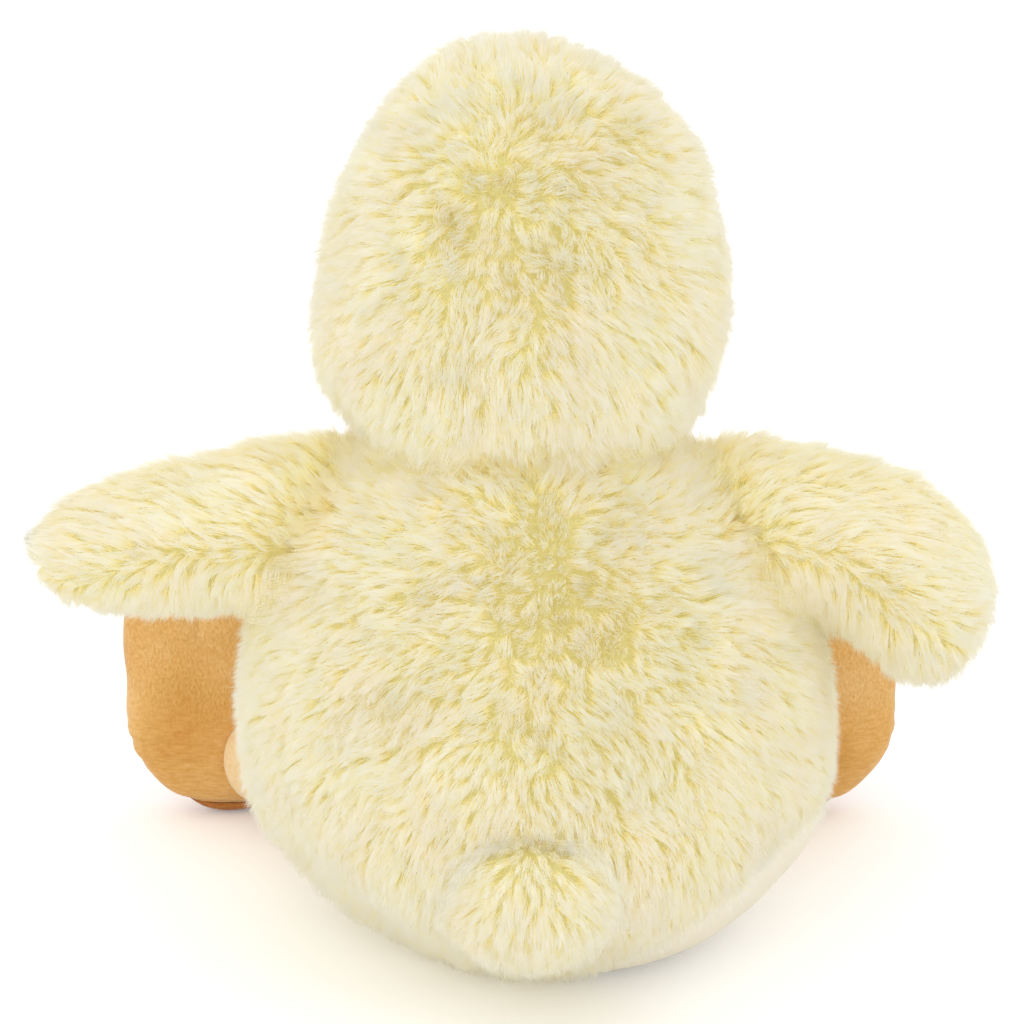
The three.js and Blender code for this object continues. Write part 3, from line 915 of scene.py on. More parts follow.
@dataclass(frozen=True)
class Pile:
    """How the fur fabric is made: its fibres, and the tufts that they gather in."""

    length: float = 8.2 * MM
    fibre: float = 0.155 * MM
    spacing: float = 2.5 * MM
    tries: float = 7.0
    fibres: int = 40
    tuft: float = 0.66
    stray: float = 0.06
    shortest: float = 0.5
    short_power: float = 1.5
    root_depth: float = 0.3 * MM
    root_lift: float = 58.0
    tip_lift: float = 28.0
    stand_lift: float = 77.0
    stand_droop: float = 8.0
    lift_ends: tuple[float, float] = (0.05, 1.5)
    curl_power: float = 0.8
    gather: float = 0.42
    laid_gather: float = 0.08
    gather_power: float = 0.7
    splay: float = 0.4
    lock_spacing: float = 4.8 * MM
    lock_pull: float = 0.5
    laid_pull: float = 0.08
    lock_wobble: float = 7.0
    loose: float = 0.38 * MM
    loose_stand: float = 0.25 * MM
    loose_stray: float = 0.9 * MM
    # Painted shade: how much further down the root-to-tip colours the short fibres, deep in the pile, and the
    # standing tufts read.
    depth_tone: float = 0.48
    bridge_lift: float = 76.0
    bridge_turn: float = 0.5
    bridge_reach: float = 7 * MM
    bridge_growth: float = 0.4
    # Painted shade: how much lower on the root-to-tip colours the fibres beside a crease read.
    bridge_depth: float = 0.5
    clear_first: float = 1.6 * MM
    clear_step: float = 1.1 * MM
    clear_depth: float = 28 * MM
    sunk: float = 1.6 * MM
    whorl: float = 38.0
    swirl: float = 44.0
    swirl_patch: float = 17 * MM
    scatter: float = 7.0
    floor: float = 0.5 * MM
    steps: int = 4
    habit: Habit = Habit()
    strip: Strip = Strip()


@dataclass
class Coat:
    """Fibres grown on a skin: places along each, the outward direction, the tone and the tip's paleness,
    which is lowered as painted shade for fibres that lie deep or beside a crease.
    """

    roots: Points
    lines: Points
    outward: Points
    tone: Points
    pale: Points


class Grower:
    """Grows the pile of one skin in tufts."""

    def __init__(self, skin: Skin, pile: Pile, nap: Union[Nap, WingNap, TailNap], seed: int) -> None:
        """Keep the skin, the pile and its nap, and start the random numbers."""
        self.skin = skin
        self.pile = pile
        self.nap = nap
        self.seed = seed
        self.random = np.random.default_rng(seed)

    def scatter(self, allowed: Callable[[Points, Points], Points]) -> tuple[Points, Points]:
        """Place the tufts evenly where they are allowed.

        Args:
            allowed: Says of points and normals which may bear a tuft.

        Returns:
            Places and outward normals.
        """
        corners = self.skin.places[self.skin.faces]
        sides = corners[:, 1:] - corners[:, :1]
        areas = np.linalg.norm(np.cross(sides[:, 0], sides[:, 1]), axis=1) / 2
        tries = int(self.pile.tries * areas.sum() / self.pile.spacing**2)
        chosen = np.searchsorted(np.cumsum(areas), self.random.random(tries) * areas.sum())
        chosen = np.minimum(chosen, len(areas) - 1)
        share = self.random.random((tries, 2))
        share[share.sum(axis=1) > 1] = 1 - share[share.sum(axis=1) > 1]
        weights = np.column_stack((1 - share.sum(axis=1), share))[:, :, None]
        points = (corners[chosen] * weights).sum(axis=1)
        normals = unit((self.skin.normals[self.skin.faces[chosen]] * weights).sum(axis=1))
        keep = allowed(points, normals)
        points, normals = points[keep], normals[keep]
        kept = spaced(points, self.pile.spacing)
        return points[kept], normals[kept]

    def locks(self, points: Points) -> np.ndarray:
        """For each tuft, the number of the tuft at the heart of its lock.

        Args:
            points: The tufts' places.

        Returns:
            One tuft number a tuft.
        """
        hearts = spaced(points, self.pile.lock_spacing)
        tree = KDTree(len(hearts))
        for i, heart in enumerate(hearts):
            tree.insert(points[heart], i)
        tree.balance()
        return hearts[[tree.find(p)[1] for p in points]]

    def guides(
        self,
        points: Points,
        normals: Points,
        heart: np.ndarray,
        avoid: Sequence[Skin],
        bridged: Sequence[Skin],
    ) -> tuple[Points, Points, Points, Points]:
        """Trace each tuft's middle line over the skin.

        Args:
            points: The tufts' roots.
            normals: The outward normals there.
            heart: The tuft at the heart of each tuft's lock.
            avoid: Other skins, which push the tufts out.
            bridged: Other skins, beside which the tufts stand up and fill the crease.

        Returns:
            Places, the nap's direction and the outward direction, at each step, and how pale each tip is,
            lowered beside creases as painted shade.
        """
        pile, habit, random = self.pile, self.pile.habit, self.random
        count = len(points)
        turn = np.radians(pile.swirl) * mottle(points, pile.swirl_patch, self.seed)
        fine = mottle(points, pile.swirl_patch * habit.fine_patch, self.seed + 1)
        turn += np.radians(pile.swirl * habit.fine_swirl) * fine
        turn += np.radians(pile.scatter) * random.standard_normal(count)
        stand = self.nap.stand(points)
        turn += np.radians(pile.whorl) * stand * random.standard_normal(count)[heart]
        lock_rise = random.standard_normal(count)[heart]
        turn += np.radians(pile.whorl) * stand * habit.whorls.at(points, self.seed)
        upright_tip = pile.stand_lift - pile.stand_droop
        root_lift = np.radians(pile.root_lift + (pile.stand_lift - pile.root_lift) * stand)
        tip_lift = np.radians(pile.tip_lift + (upright_tip - pile.tip_lift) * stand)
        wobble = habit.waves.at(points, self.seed)
        wobble += np.radians(habit.wave_scatter * pile.scatter) * random.standard_normal(count)
        laid_rise, stand_rise = habit.lock_rise
        wobble += np.radians(pile.lock_wobble) * lock_rise * (laid_rise + stand_rise * stand)
        length = pile.length * (1 + habit.lengths.at(points, self.seed)) * (1 + habit.stand_length * stand)
        uneven = habit.lock_length * lock_rise * (habit.laid_share + stand)
        length *= 1 + habit.length_scatter * random.standard_normal(count) + uneven
        near = self.beside(points, bridged)
        length *= 1 + pile.bridge_growth * near
        root_lift += (np.radians(pile.bridge_lift) - root_lift) * near
        tip_lift += (np.radians(pile.bridge_lift) - tip_lift) * near
        turn += pile.bridge_turn * near * random.standard_normal(count)
        at, normal, height = points.copy(), normals.copy(), np.zeros(count)
        places, naps, outs = [], [], []
        step = length / pile.steps
        for k in range(pile.steps + 1):
            flow = self.nap.flow(at, normal)
            nap = flow * np.cos(turn)[:, None] + np.cross(normal, flow) * np.sin(turn)[:, None]
            places.append(at + normal * height[:, None])
            naps.append(nap)
            outs.append(normal)
            share = min((k + 0.5) / pile.steps, 1)
            lift = root_lift + (tip_lift - root_lift) * share**pile.curl_power + wobble
            lift = np.clip(lift, *pile.lift_ends)
            height = height + step * np.sin(lift)
            at, normal = self.skin.nearest(at + nap * (step * np.cos(lift))[:, None])
        line = np.stack(places, axis=1)
        for other in avoid:
            outside = other.height(points)[0] > -pile.sunk
            line = np.where(outside[:, None, None], self.pushed(line, other), line)
        # Fibres beside a crease are given painted shade: their tips read lower on the root-to-tip colours.
        return line, np.stack(naps, axis=1), np.stack(outs, axis=1), 1 - pile.bridge_depth * near

    def beside(self, points: Points, others: Sequence[Skin]) -> Points:
        """How close each root is to another skin, from 0 to 1, and 0 where that skin covers it.

        Args:
            points: The tufts' places.
            others: The skins beside.

        Returns:
            One share a root.
        """
        near = np.zeros(len(points))
        for other in others:
            gap = other.height(points)[0]
            close = np.exp(-((np.maximum(gap, 0) / self.pile.bridge_reach) ** 2))
            near = np.maximum(near, np.where(gap > -self.pile.sunk, close, 0))
        return near

    def pushed(self, line: Points, other: Skin) -> Points:
        """Push the later places of each line out of another skin.

        Args:
            line: Places along each guide line.
            other: The skin that they keep out of.

        Returns:
            The moved places.
        """
        result = line.copy()
        for k in range(1, line.shape[1]):
            clear = self.pile.clear_first + self.pile.clear_step * (k - 1)
            height, normal = other.height(line[:, k])
            sunk = (height < clear) & (height > -self.pile.clear_depth)
            result[sunk, k] += normal[sunk] * (clear - height[sunk])[:, None]
        return result

    def grow(
        self,
        allowed: Callable[[Points, Points], Points],
        bridged: Sequence[Skin],
        avoid: Sequence[Skin] = (),
    ) -> Coat:
        """Grow the coat.

        Args:
            allowed: Says of points and normals which may bear a tuft.
            bridged: Skins that meet this one in a crease, which push the tufts out and make them stand.
            avoid: Other skins, which push the tufts out.

        Returns:
            The fibres.
        """
        pile = self.pile
        points, normals = self.scatter(allowed)
        heart = self.locks(points)
        line, naps, outs, pale = self.guides(points, normals, heart, [*bridged, *avoid], bridged)
        line = self.locked(points, line, heart)
        line[..., 2] = np.maximum(line[..., 2], pile.floor)
        tone = self.tones(points, heart)
        which = np.repeat(np.arange(len(points)), pile.fibres)
        stand = self.nap.stand(points)[which]
        share, lines, outward = self.fibres(which, stand, line, naps, outs)
        lines[..., 2] = np.maximum(lines[..., 2], pile.floor)
        tone = tone[which] + pile.habit.tuft_tone * self.random.standard_normal(len(which))
        # Painted shade: shorter fibres, whose tips lie deep in the pile, and standing tufts take more of the
        # darker root colour.
        pale = pale[which] * (1 - pile.depth_tone * (1 - share) * (pile.habit.laid_share + stand))
        return Coat(lines[:, 0], lines, outward, np.clip(tone, *pile.habit.tone_ends), pale)

    def tones(self, points: Points, heart: np.ndarray) -> Points:
        """How warm each tuft is, from about 0 to 1."""
        habit, count = self.pile.habit, len(points)
        tone = habit.tone + habit.broad_tone.at(points, self.seed)
        tone += habit.fine_tone.at(points, self.seed)
        own = habit.tuft_tone * self.random.standard_normal(count)
        return tone + own + habit.lock_tone * self.random.standard_normal(count)[heart]

    def fibres(
        self, which: np.ndarray, stand: Points, line: Points, naps: Points, outs: Points
    ) -> tuple[Points, Points, Points]:
        """Spread each tuft's fibres about its middle line.

        Args:
            which: Each fibre's tuft.
            stand: How upright each fibre's tuft stands.
            line: The tufts' middle lines.
            naps: The nap's direction along them.
            outs: The outward direction along them.

        Returns:
            How long each fibre is against its tuft, and its places and outward directions.
        """
        pile, random, count = self.pile, self.random, len(which)
        reach = pile.tuft * pile.spacing * np.sqrt(random.random(count))
        angle = 2 * np.pi * random.random(count)
        stray = random.random(count) < pile.stray
        gather = pile.laid_gather + (pile.gather - pile.laid_gather) * stand
        gather = gather * (0.5 + random.random(count))
        gather = np.where(stray, 0.0, gather)
        gather -= (pile.gather + pile.splay) * stand * random.random(count) ** 2
        share = 1 - pile.shortest * random.random(count) ** pile.short_power
        rise = random.standard_normal(count) * pile.loose
        slack = pile.loose + pile.loose_stand * stand + pile.loose_stray * stray
        drift = random.standard_normal((count, 2)) * slack[:, None]
        binormals = np.cross(outs, naps)
        rows, normals_at = [], []
        for t in (0.0, 0.5, 1.0):
            place = t * share * pile.steps
            low = np.minimum(place.astype(int), pile.steps - 1)
            part = (place - low)[:, None]
            centre, along, across, out = (
                field_at[which, low] * (1 - part) + field_at[which, low + 1] * part
                for field_at in (line, naps, binormals, outs)
            )
            spread = 1 - gather * (t * share) ** pile.gather_power
            first = (reach * np.cos(angle) * spread + drift[:, 0] * t)[:, None]
            second = (reach * np.sin(angle) * spread + drift[:, 1] * t)[:, None]
            up = (rise * t * (1 + stray) - pile.root_depth * (t == 0))[:, None]
            rows.append(centre + along * first + across * second + out * up)
            normals_at.append(out)
        return share, np.stack(rows, axis=1), np.stack(normals_at, axis=1)

    def locked(self, points: Points, line: Points, heart: np.ndarray) -> Points:
        """Draw each lock's tufts together, which opens gaps between the locks."""
        pile = self.pile
        pull = pile.laid_pull + (pile.lock_pull - pile.laid_pull) * self.nap.stand(points)
        pull = np.clip(pull + pile.habit.pulls.at(points[heart], self.seed), 0, pile.habit.pull_most)
        shares = (np.arange(line.shape[1]) / (line.shape[1] - 1)) ** pile.habit.pull_power
        return line + (line[heart] - line) * (pull[:, None] * shares)[:, :, None]


def spaced(points: Points, spacing: float) -> np.ndarray:
    """Pick points, in their order, none nearer to another picked one than spacing.

    Args:
        points: Places to pick from.
        spacing: The least distance.

    Returns:
        The numbers of the picked points.
    """
    cells: dict[tuple[int, int, int], list[int]] = {}
    picked = []
    grid = np.floor(points / spacing).astype(int)
    rows = points.tolist()
    limit = spacing**2
    around = [(i, j, k) for i in (-1, 0, 1) for j in (-1, 0, 1) for k in (-1, 0, 1)]
    for index, (x, y, z) in enumerate(rows):
        a, b, c = grid[index]
        near = (rows[n] for i, j, k in around for n in cells.get((a + i, b + j, c + k), ()))
        if all((x - p[0]) ** 2 + (y - p[1]) ** 2 + (z - p[2]) ** 2 >= limit for p in near):
            cells.setdefault((a, b, c), []).append(index)
            picked.append(index)
    return np.array(picked)


def fibre_piece(name: str, coat: Coat, chosen: np.ndarray, pile: Pile, seed: int) -> bpy.types.Object:
    """Make a piece of fibres, each a narrow strip that ends in a point.

    Args:
        name: The piece's name.
        coat: The fibres.
        chosen: Which of them belong to the piece.
        pile: The fabric.
        seed: Starts the random numbers.

    Returns:
        The piece.
    """
    random = np.random.default_rng(seed)
    strip = pile.strip
    lines, outward, tone = coat.lines[chosen], coat.outward[chosen], coat.tone[chosen]
    count = len(lines)
    ahead = np.diff(lines, axis=1)
    ahead = unit(np.concatenate((ahead, ahead[:, -1:]), axis=1))
    flat = unit(np.cross(ahead, outward))
    face = np.cross(flat, ahead)
    roll = np.radians(strip.roll) * random.standard_normal(count)[:, None, None]
    side = flat * np.cos(roll) + face * np.sin(roll)
    thinnest, thicker = strip.widths
    width = pile.fibre * (thinnest + thicker * random.random(count))[:, None]
    width = width * np.array([strip.root_width, 1.0])
    half = side[:, :2] * (width / 2)[:, :, None]
    rungs = np.stack((lines[:, :2] - half, lines[:, :2] + half), axis=2).reshape(count, 4, 3)
    places = np.concatenate((rungs, lines[:, 2:]), axis=1)
    facing = unit(face + outward * strip.outward)
    left = unit(facing[:, :2] - side[:, :2] * strip.bulge)
    right = unit(facing[:, :2] + side[:, :2] * strip.bulge)
    shade = np.concatenate((np.stack((left, right), axis=2).reshape(count, 4, 3), facing[:, 2:]), axis=1)
    corners = (np.array([0, 1, 3, 2, 2, 3, 4])[None] + 5 * np.arange(count)[:, None]).ravel()
    starts = (np.array([0, 4])[None] + 7 * np.arange(count)[:, None]).ravel()
    mesh = bpy.data.meshes.new(name)
    mesh.vertices.add(count * 5)
    mesh.vertices.foreach_set("co", places.astype(np.float32).ravel())
    mesh.loops.add(len(corners))
    mesh.loops.foreach_set("vertex_index", corners.astype(np.int32))
    mesh.polygons.add(len(starts))
    mesh.polygons.foreach_set("loop_start", starts.astype(np.int32))
    mesh.update(calc_edges=True)
    across = np.array([-1, 1, -1, 1, 0]) * strip.map_width
    root, middle, tip = strip.map_rows
    up = np.array([root, root, middle, middle, tip])
    # The height up each fibre's map is scaled by its paleness, so fibres lying deep or beside a crease carry
    # painted shade.
    spots = np.stack((tone[:, None] + across[None], up[None] * coat.pale[chosen][:, None]), axis=2)
    spots = spots.reshape(-1, 2)
    uv = mesh.uv_layers.new(name=FIBRE_MAP)
    uv.data.foreach_set("uv", spots[corners].astype(np.float32).ravel())
    mesh.polygons.foreach_set("use_smooth", np.ones(len(starts), bool))
    mesh.normals_split_custom_set_from_vertices(shade.reshape(-1, 3).astype(np.float32))
    piece = bpy.data.objects.new(name, mesh)
    bpy.context.scene.collection.objects.link(piece)
    LOG.info("%s: %d fibres", name, count)
    return piece


def chosen_only(*pieces: bpy.types.Object) -> None:
    """Select these pieces alone and make the first one active."""
    bpy.ops.object.select_all(action="DESELECT")
    for piece in pieces:
        piece.select_set(True)
    bpy.context.view_layer.objects.active = pieces[0]


def modified(piece: bpy.types.Object, kind: str, **settings: Union[int, float, bool, str]) -> None:
    """Add a modifier with these settings and apply it."""
    chosen_only(piece)
    modifier = piece.modifiers.new(kind.title(), kind)
    for key, value in settings.items():
        setattr(modifier, key, value)
    bpy.ops.object.modifier_apply(modifier=modifier.name)


def parted(piece: bpy.types.Object, point: Sequence[float], normal: Sequence[float]) -> None:
    """Cut a piece with a plane and keep what lies on the side that the normal points to."""
    chosen_only(piece)
    bpy.ops.object.mode_set(mode="EDIT")
    bpy.ops.mesh.select_all(action="SELECT")
    bpy.ops.mesh.bisect(plane_co=point, plane_no=normal, clear_inner=True, clear_outer=False)
    bpy.ops.object.mode_set(mode="OBJECT")


def copied(piece: bpy.types.Object, name: str) -> bpy.types.Object:
    """Copy a piece with its own mesh."""
    copy = piece.copy()
    copy.data = piece.data.copy()
    copy.name = name
    copy.data.name = name
    bpy.context.scene.collection.objects.link(copy)
    return copy


def joined(pieces: Sequence[bpy.types.Object]) -> bpy.types.Object:
    """Join pieces into the first one."""
    chosen_only(*pieces)
    bpy.ops.object.join()
    return pieces[0]


def merged(piece: bpy.types.Object, reach: float) -> None:
    """Merge a piece's points that lie within reach of each other."""
    chosen_only(piece)
    bpy.ops.object.mode_set(mode="EDIT")
    bpy.ops.mesh.select_all(action="SELECT")
    bpy.ops.mesh.remove_doubles(threshold=reach)
    bpy.ops.object.mode_set(mode="OBJECT")


def seamed(away: Points, depth: float, width: float) -> Points:
    """How far cloth is drawn in at each distance from a seam, as a negative amount."""
    return -depth * np.exp(-((away / width) ** 2))


def moved_to(skin: Skin, places: Points) -> None:
    """Give a skin's points new places."""
    skin.piece.data.vertices.foreach_set("co", places.astype(np.float32).ravel())
    skin.piece.data.update()
    skin.refresh()


def moved_out(skin: Skin, amount: Points) -> None:
    """Move each of a skin's points outwards by its own amount."""
    moved_to(skin, skin.places + skin.normals * amount[:, None])


def revolved(
    name: str, outline: Sequence[tuple[float, float]], point: Points, normal: Points
) -> bpy.types.Object:
    """Spin an outline about an outward normal.

    Args:
        name: The piece's name.
        outline: Radius and height of each point.
        point: Where the outline's height is zero.
        normal: The axis.

    Returns:
        The piece.
    """
    mesh = bpy.data.meshes.new(name)
    edges = [(i, i + 1) for i in range(len(outline) - 1)]
    mesh.from_pydata([(radius, 0, height) for radius, height in outline], edges, [])
    piece = bpy.data.objects.new(name, mesh)
    bpy.context.scene.collection.objects.link(piece)
    chosen_only(piece)
    bpy.ops.object.mode_set(mode="EDIT")
    bpy.ops.mesh.select_all(action="SELECT")
    bpy.ops.mesh.spin(steps=48, angle=2 * math.pi, center=(0, 0, 0), axis=(0, 0, 1))
    bpy.ops.mesh.select_all(action="SELECT")
    bpy.ops.mesh.remove_doubles(threshold=0.01 * MM)
    bpy.ops.mesh.normals_make_consistent(inside=False)
    bpy.ops.object.mode_set(mode="OBJECT")
    turn = Vector((0, 0, 1)).rotation_difference(Vector(normal)).to_matrix().to_4x4()
    mesh.transform(Matrix.Translation(Vector(point)) @ turn)
    bpy.ops.object.shade_smooth_by_angle(angle=math.radians(40))
    return piece


@dataclass
class Toy:
    """What every sub-assembly shares: the finishes, and the skins that the pile keeps clear of."""

    finishes: Finishes = field(default_factory=Finishes)
    skins: dict[str, Skin] = field(default_factory=dict)
    pile_foot: float = 4.4 * MM
    unevenness: float = 2.4 * MM
    uneven_patch: float = 26 * MM
    level_foot: float = 12 * MM
    uneven_seed: int = 50
    clump: float = 1.2 * MM
    clump_patch: float = 11 * MM
    clump_seed: int = 3

    def backing(self, name: str, form: Form, nodes: Sequence[str], fill: float = 0.7) -> Skin:
        """Make the dense foot of the fur fabric's pile as a padded skin.

        Args:
            name: The piece's name.
            form: The sub-assembly's outer form.
            nodes: The CAD nodes that it stands for.
            fill: Not used.

        Returns:
            The skin.
        """
        skin = Skin(name, form, self.pile_foot)
        seed = self.uneven_seed + len(self.skins)
        uneven = self.unevenness * mottle(skin.places, self.uneven_patch, seed)
        height = skin.places[:, 2]
        moved_out(skin, uneven * smoothstep(height.min(), height.min() + self.level_foot, height))
        dress(skin.piece, self.finishes.backing)
        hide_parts(*nodes)
        self.skins[name] = skin
        LOG.info("%s: %d points", name, len(skin.places))
        return skin

    def stuffing(self, name: str, forms: Sequence[Form], depth: float, body: str) -> bpy.types.Object:
        """Make a lumpy filling of one or more forms, on a body.

        Args:
            name: The piece's name, which is also the CAD node's.
            forms: The outer forms that it fills.
            depth: How deep under them its surface lies.
            body: What it rides on.

        Returns:
            The piece.
        """
        skins = [Skin(f"{name}_fibre", form, depth, 48, 32) for form in forms]
        for skin in skins:
            moved_out(skin, self.clump * mottle(skin.places, self.clump_patch, self.clump_seed))
        piece = joined([skin.piece for skin in skins])
        dress(piece, self.finishes.made[Slot.STUFFING])
        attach(piece, body)
        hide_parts(name)
        return piece

    def fur(
        self, coat: Coat, pile: Pile, names: dict[str, tuple[np.ndarray, str]], seed: int
    ) -> list[bpy.types.Object]:
        """Make a coat's pieces.

        Args:
            coat: The fibres.
            pile: The fabric.
            names: For each piece, which fibres belong to it and which CAD node it stands for.
            seed: Starts the random numbers.

        Returns:
            The pieces.
        """
        made = []
        for i, (name, (chosen, node)) in enumerate(names.items()):
            piece = fibre_piece(name, coat, np.flatnonzero(chosen), pile, seed + i)
            dress(piece, self.finishes.made[Slot.FUR])
            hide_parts(node)
            made.append(piece)
        return made


@dataclass(frozen=True)
class Hem:
    """The line where the fur ends and the base panel begins: level, but high at the right rear."""

    level: float = 3 * MM
    height: float = -10.5 * MM
    across: float = -0.619
    back: float = 0.155

    def at(self, points: Points) -> Points:
        """The hem's height above each point of the floor."""
        slant = self.height + self.across * points[:, 0] + self.back * points[:, 1]
        return np.maximum(slant, self.level)

    @property
    def normal(self) -> tuple[float, float, float]:
        """The upward normal of the slanting part."""
        return tuple(unit(np.array([-self.across, -self.back, 1.0])))


@dataclass
class Torso:
    """The body: fur over a stuffed egg, with a smooth base panel and a bag of pellets."""

    toy: Toy
    half_width: float = 96 * MM
    half_depth: float = 90 * MM
    widest: float = 64 * MM
    crown: float = 120 * MM
    keel: float = 72 * MM
    crown_power: float = 1.9
    keel_power: float = 2.2
    settle: float = 9 * MM
    neck_height: float = 168 * MM
    fabric: float = 7 * MM
    base_cloth: float = 1.2 * MM
    base_tuck: float = 11 * MM
    hem: Hem = field(default_factory=Hem)
    base_unevenness: float = 0.5 * MM
    base_patch: float = 16 * MM
    base_overlap: float = 0.5 * MM
    side_seam: float = 2 * MM
    waist: float = 72 * MM
    neck_bend: tuple[float, float] = (150 * MM, 168 * MM)
    backing_floor: float = 3 * MM
    filling_depth: float = 4 * MM
    bag_height: float = 20 * MM
    bag_half_width: float = 40 * MM
    bag_rises: tuple[float, float] = (14 * MM, 12 * MM)
    pellet: float = 4 * MM
    pellet_relief: float = 0.8 * MM
    whorl: tuple[float, float, float] = (-12 * MM, 62 * MM, 147 * MM)
    head_cover: float = 1.5 * MM
    wing_cover: float = 6 * MM
    lumps: tuple[Lump, ...] = (
        Lump((-84 * MM, 42 * MM, 34 * MM), 24 * MM, -6.5 * MM),
        Lump((74 * MM, 42 * MM, 32 * MM), 26 * MM, -6 * MM),
        Lump((52 * MM, 56 * MM, 12 * MM), 24 * MM, -6.5 * MM),
        Lump((0.0, 38 * MM, 168 * MM), 32 * MM, 8.5 * MM),
        Lump((-4 * MM, 92 * MM, 74 * MM), 26 * MM, 9 * MM),
        Lump((28 * MM, 82 * MM, 48 * MM), 20 * MM, 5 * MM),
        Lump((-36 * MM, 82 * MM, 48 * MM), 20 * MM, 5 * MM),
        Lump((63 * MM, 18 * MM, 144 * MM), 19 * MM, 6 * MM),
        Lump((-65 * MM, 18 * MM, 144 * MM), 19 * MM, 6 * MM),
    )
    pile: Pile = field(default_factory=Pile)

    def form(self, floor: float) -> Egg:
        """The body's outer form, flat where it rests.

        Args:
            floor: Where the flat underside lies.

        Returns:
            The form.
        """
        lean = self.settle / self.neck_height
        return Egg(
            centre=(self.widest * lean - self.settle, 0, self.widest),
            half_width=self.half_width,
            half_depth=self.half_depth,
            up=self.crown,
            down=self.keel,
            up_power=self.crown_power,
            down_power=self.keel_power,
            lean=lean,
            floor=floor,
            lumps=self.lumps,
        )

    def build_backing(self) -> None:
        """Make the fabric's back."""
        nodes = ("body_back_left", "body_back_right", "body_belly")
        skin = self.toy.backing("body_backing", self.form(self.backing_floor), nodes, 0.65)
        self.bend(skin.piece)

    def bend(self, piece: bpy.types.Object) -> None:
        """Bake a piece's placement into its mesh."""
        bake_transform(piece)

    def build_base(self) -> None:
        """Make the base panel, which bulges below the hem."""
        skin = Skin("base_panel_cloth", self.form(0.0), self.base_cloth, 160, 128)
        below = self.hem.at(skin.places) - skin.places[:, 2]
        tucked = (self.toy.pile_foot - self.base_cloth) * (1 - smoothstep(0, self.base_tuck, below))
        uneven = self.base_unevenness * mottle(skin.places, self.base_patch, 9)
        moved_out(skin, (uneven - tucked) * (skin.places[:, 2] > 1 * MM))
        self.toy.skins["base_panel"] = skin
        level = (0, 0, self.hem.level + self.base_overlap)
        slant = (0, 0, self.hem.height + self.base_overlap)
        low = copied(skin.piece, "base_panel_low")
        parted(low, level, (0, 0, -1))
        parted(skin.piece, slant, [-n for n in self.hem.normal])
        parted(skin.piece, level, (0, 0, 1))
        piece = joined([skin.piece, low])
        merged(piece, 0.02 * MM)
        modified(piece, "SOLIDIFY", thickness=1 * MM, offset=-1)
        dress(piece, self.toy.finishes.made[Slot.BASE])
        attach(piece, "torso")
        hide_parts("base_panel")

    def build_filling(self) -> None:
        """Make the fibre and the bag of pellets."""
        depth = self.filling_depth
        self.toy.stuffing("body_stuffing", [self.form(depth)], self.fabric + depth, "torso")
        place, wide = (-self.settle, 0, self.bag_height), self.bag_half_width
        bag = Egg(place, wide, wide, *self.bag_rises, self.keel_power, self.keel_power)
        skin = Skin("pellet_bag_cloth", bag, 0.0, 64, 40)
        pellets = np.array([noise.voronoi(Vector(p) / self.pellet)[0][0] for p in skin.places])
        moved_out(skin, -self.pellet_relief * pellets)
        dress(skin.piece, self.toy.finishes.made[Slot.BAG])
        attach(skin.piece, "torso")
        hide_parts("pellet_bag")

    def build_fur(self) -> None:
        """Grow the fur above the hem, and leave it out inside the head and the tail and deep in the wings."""
        toy = self.toy
        names = ("head_backing", "wing_left_backing", "wing_right_backing", "tail_backing")
        others = [toy.skins[name] for name in names]
        depths = (self.head_cover, self.wing_cover, self.wing_cover, self.head_cover)
        nap = Nap(
            source=self.whorl,
            stand_reach=58 * MM,
            down=0.45,
            partings=(Parting(-3 * MM, 7 * MM, 0.45),),
        )

        def allowed(points: Points, normals: Points) -> Points:
            keep = points[:, 2] > self.hem.at(points) + 0.5 * MM
            for other, depth in zip(others, depths):
                height, _ = other.height(points)
                keep &= height > -depth
            return keep

        grower = Grower(toy.skins["body_backing"], self.pile, nap, 11)
        coat = grower.grow(allowed, others[:3], [*others[3:], toy.skins["base_panel"]])
        x, y, z = coat.roots.T
        back = y > self.side_seam
        pieces = {}
        for word, level in (("upper", z > self.waist), ("lower", z <= self.waist)):
            pieces[f"body_back_left_{word}_fur"] = (back & (x > 0) & level, "body_back_left")
            pieces[f"body_back_right_{word}_fur"] = (back & (x <= 0) & level, "body_back_right")
            pieces[f"body_belly_left_{word}_fur"] = (~back & (x > 0) & level, "body_belly")
            pieces[f"body_belly_right_{word}_fur"] = (~back & (x <= 0) & level, "body_belly")
        for piece in toy.fur(coat, self.pile, pieces, 100):
            if "upper" in piece.name:
                self.bend(piece)
            else:
                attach(piece, "torso")


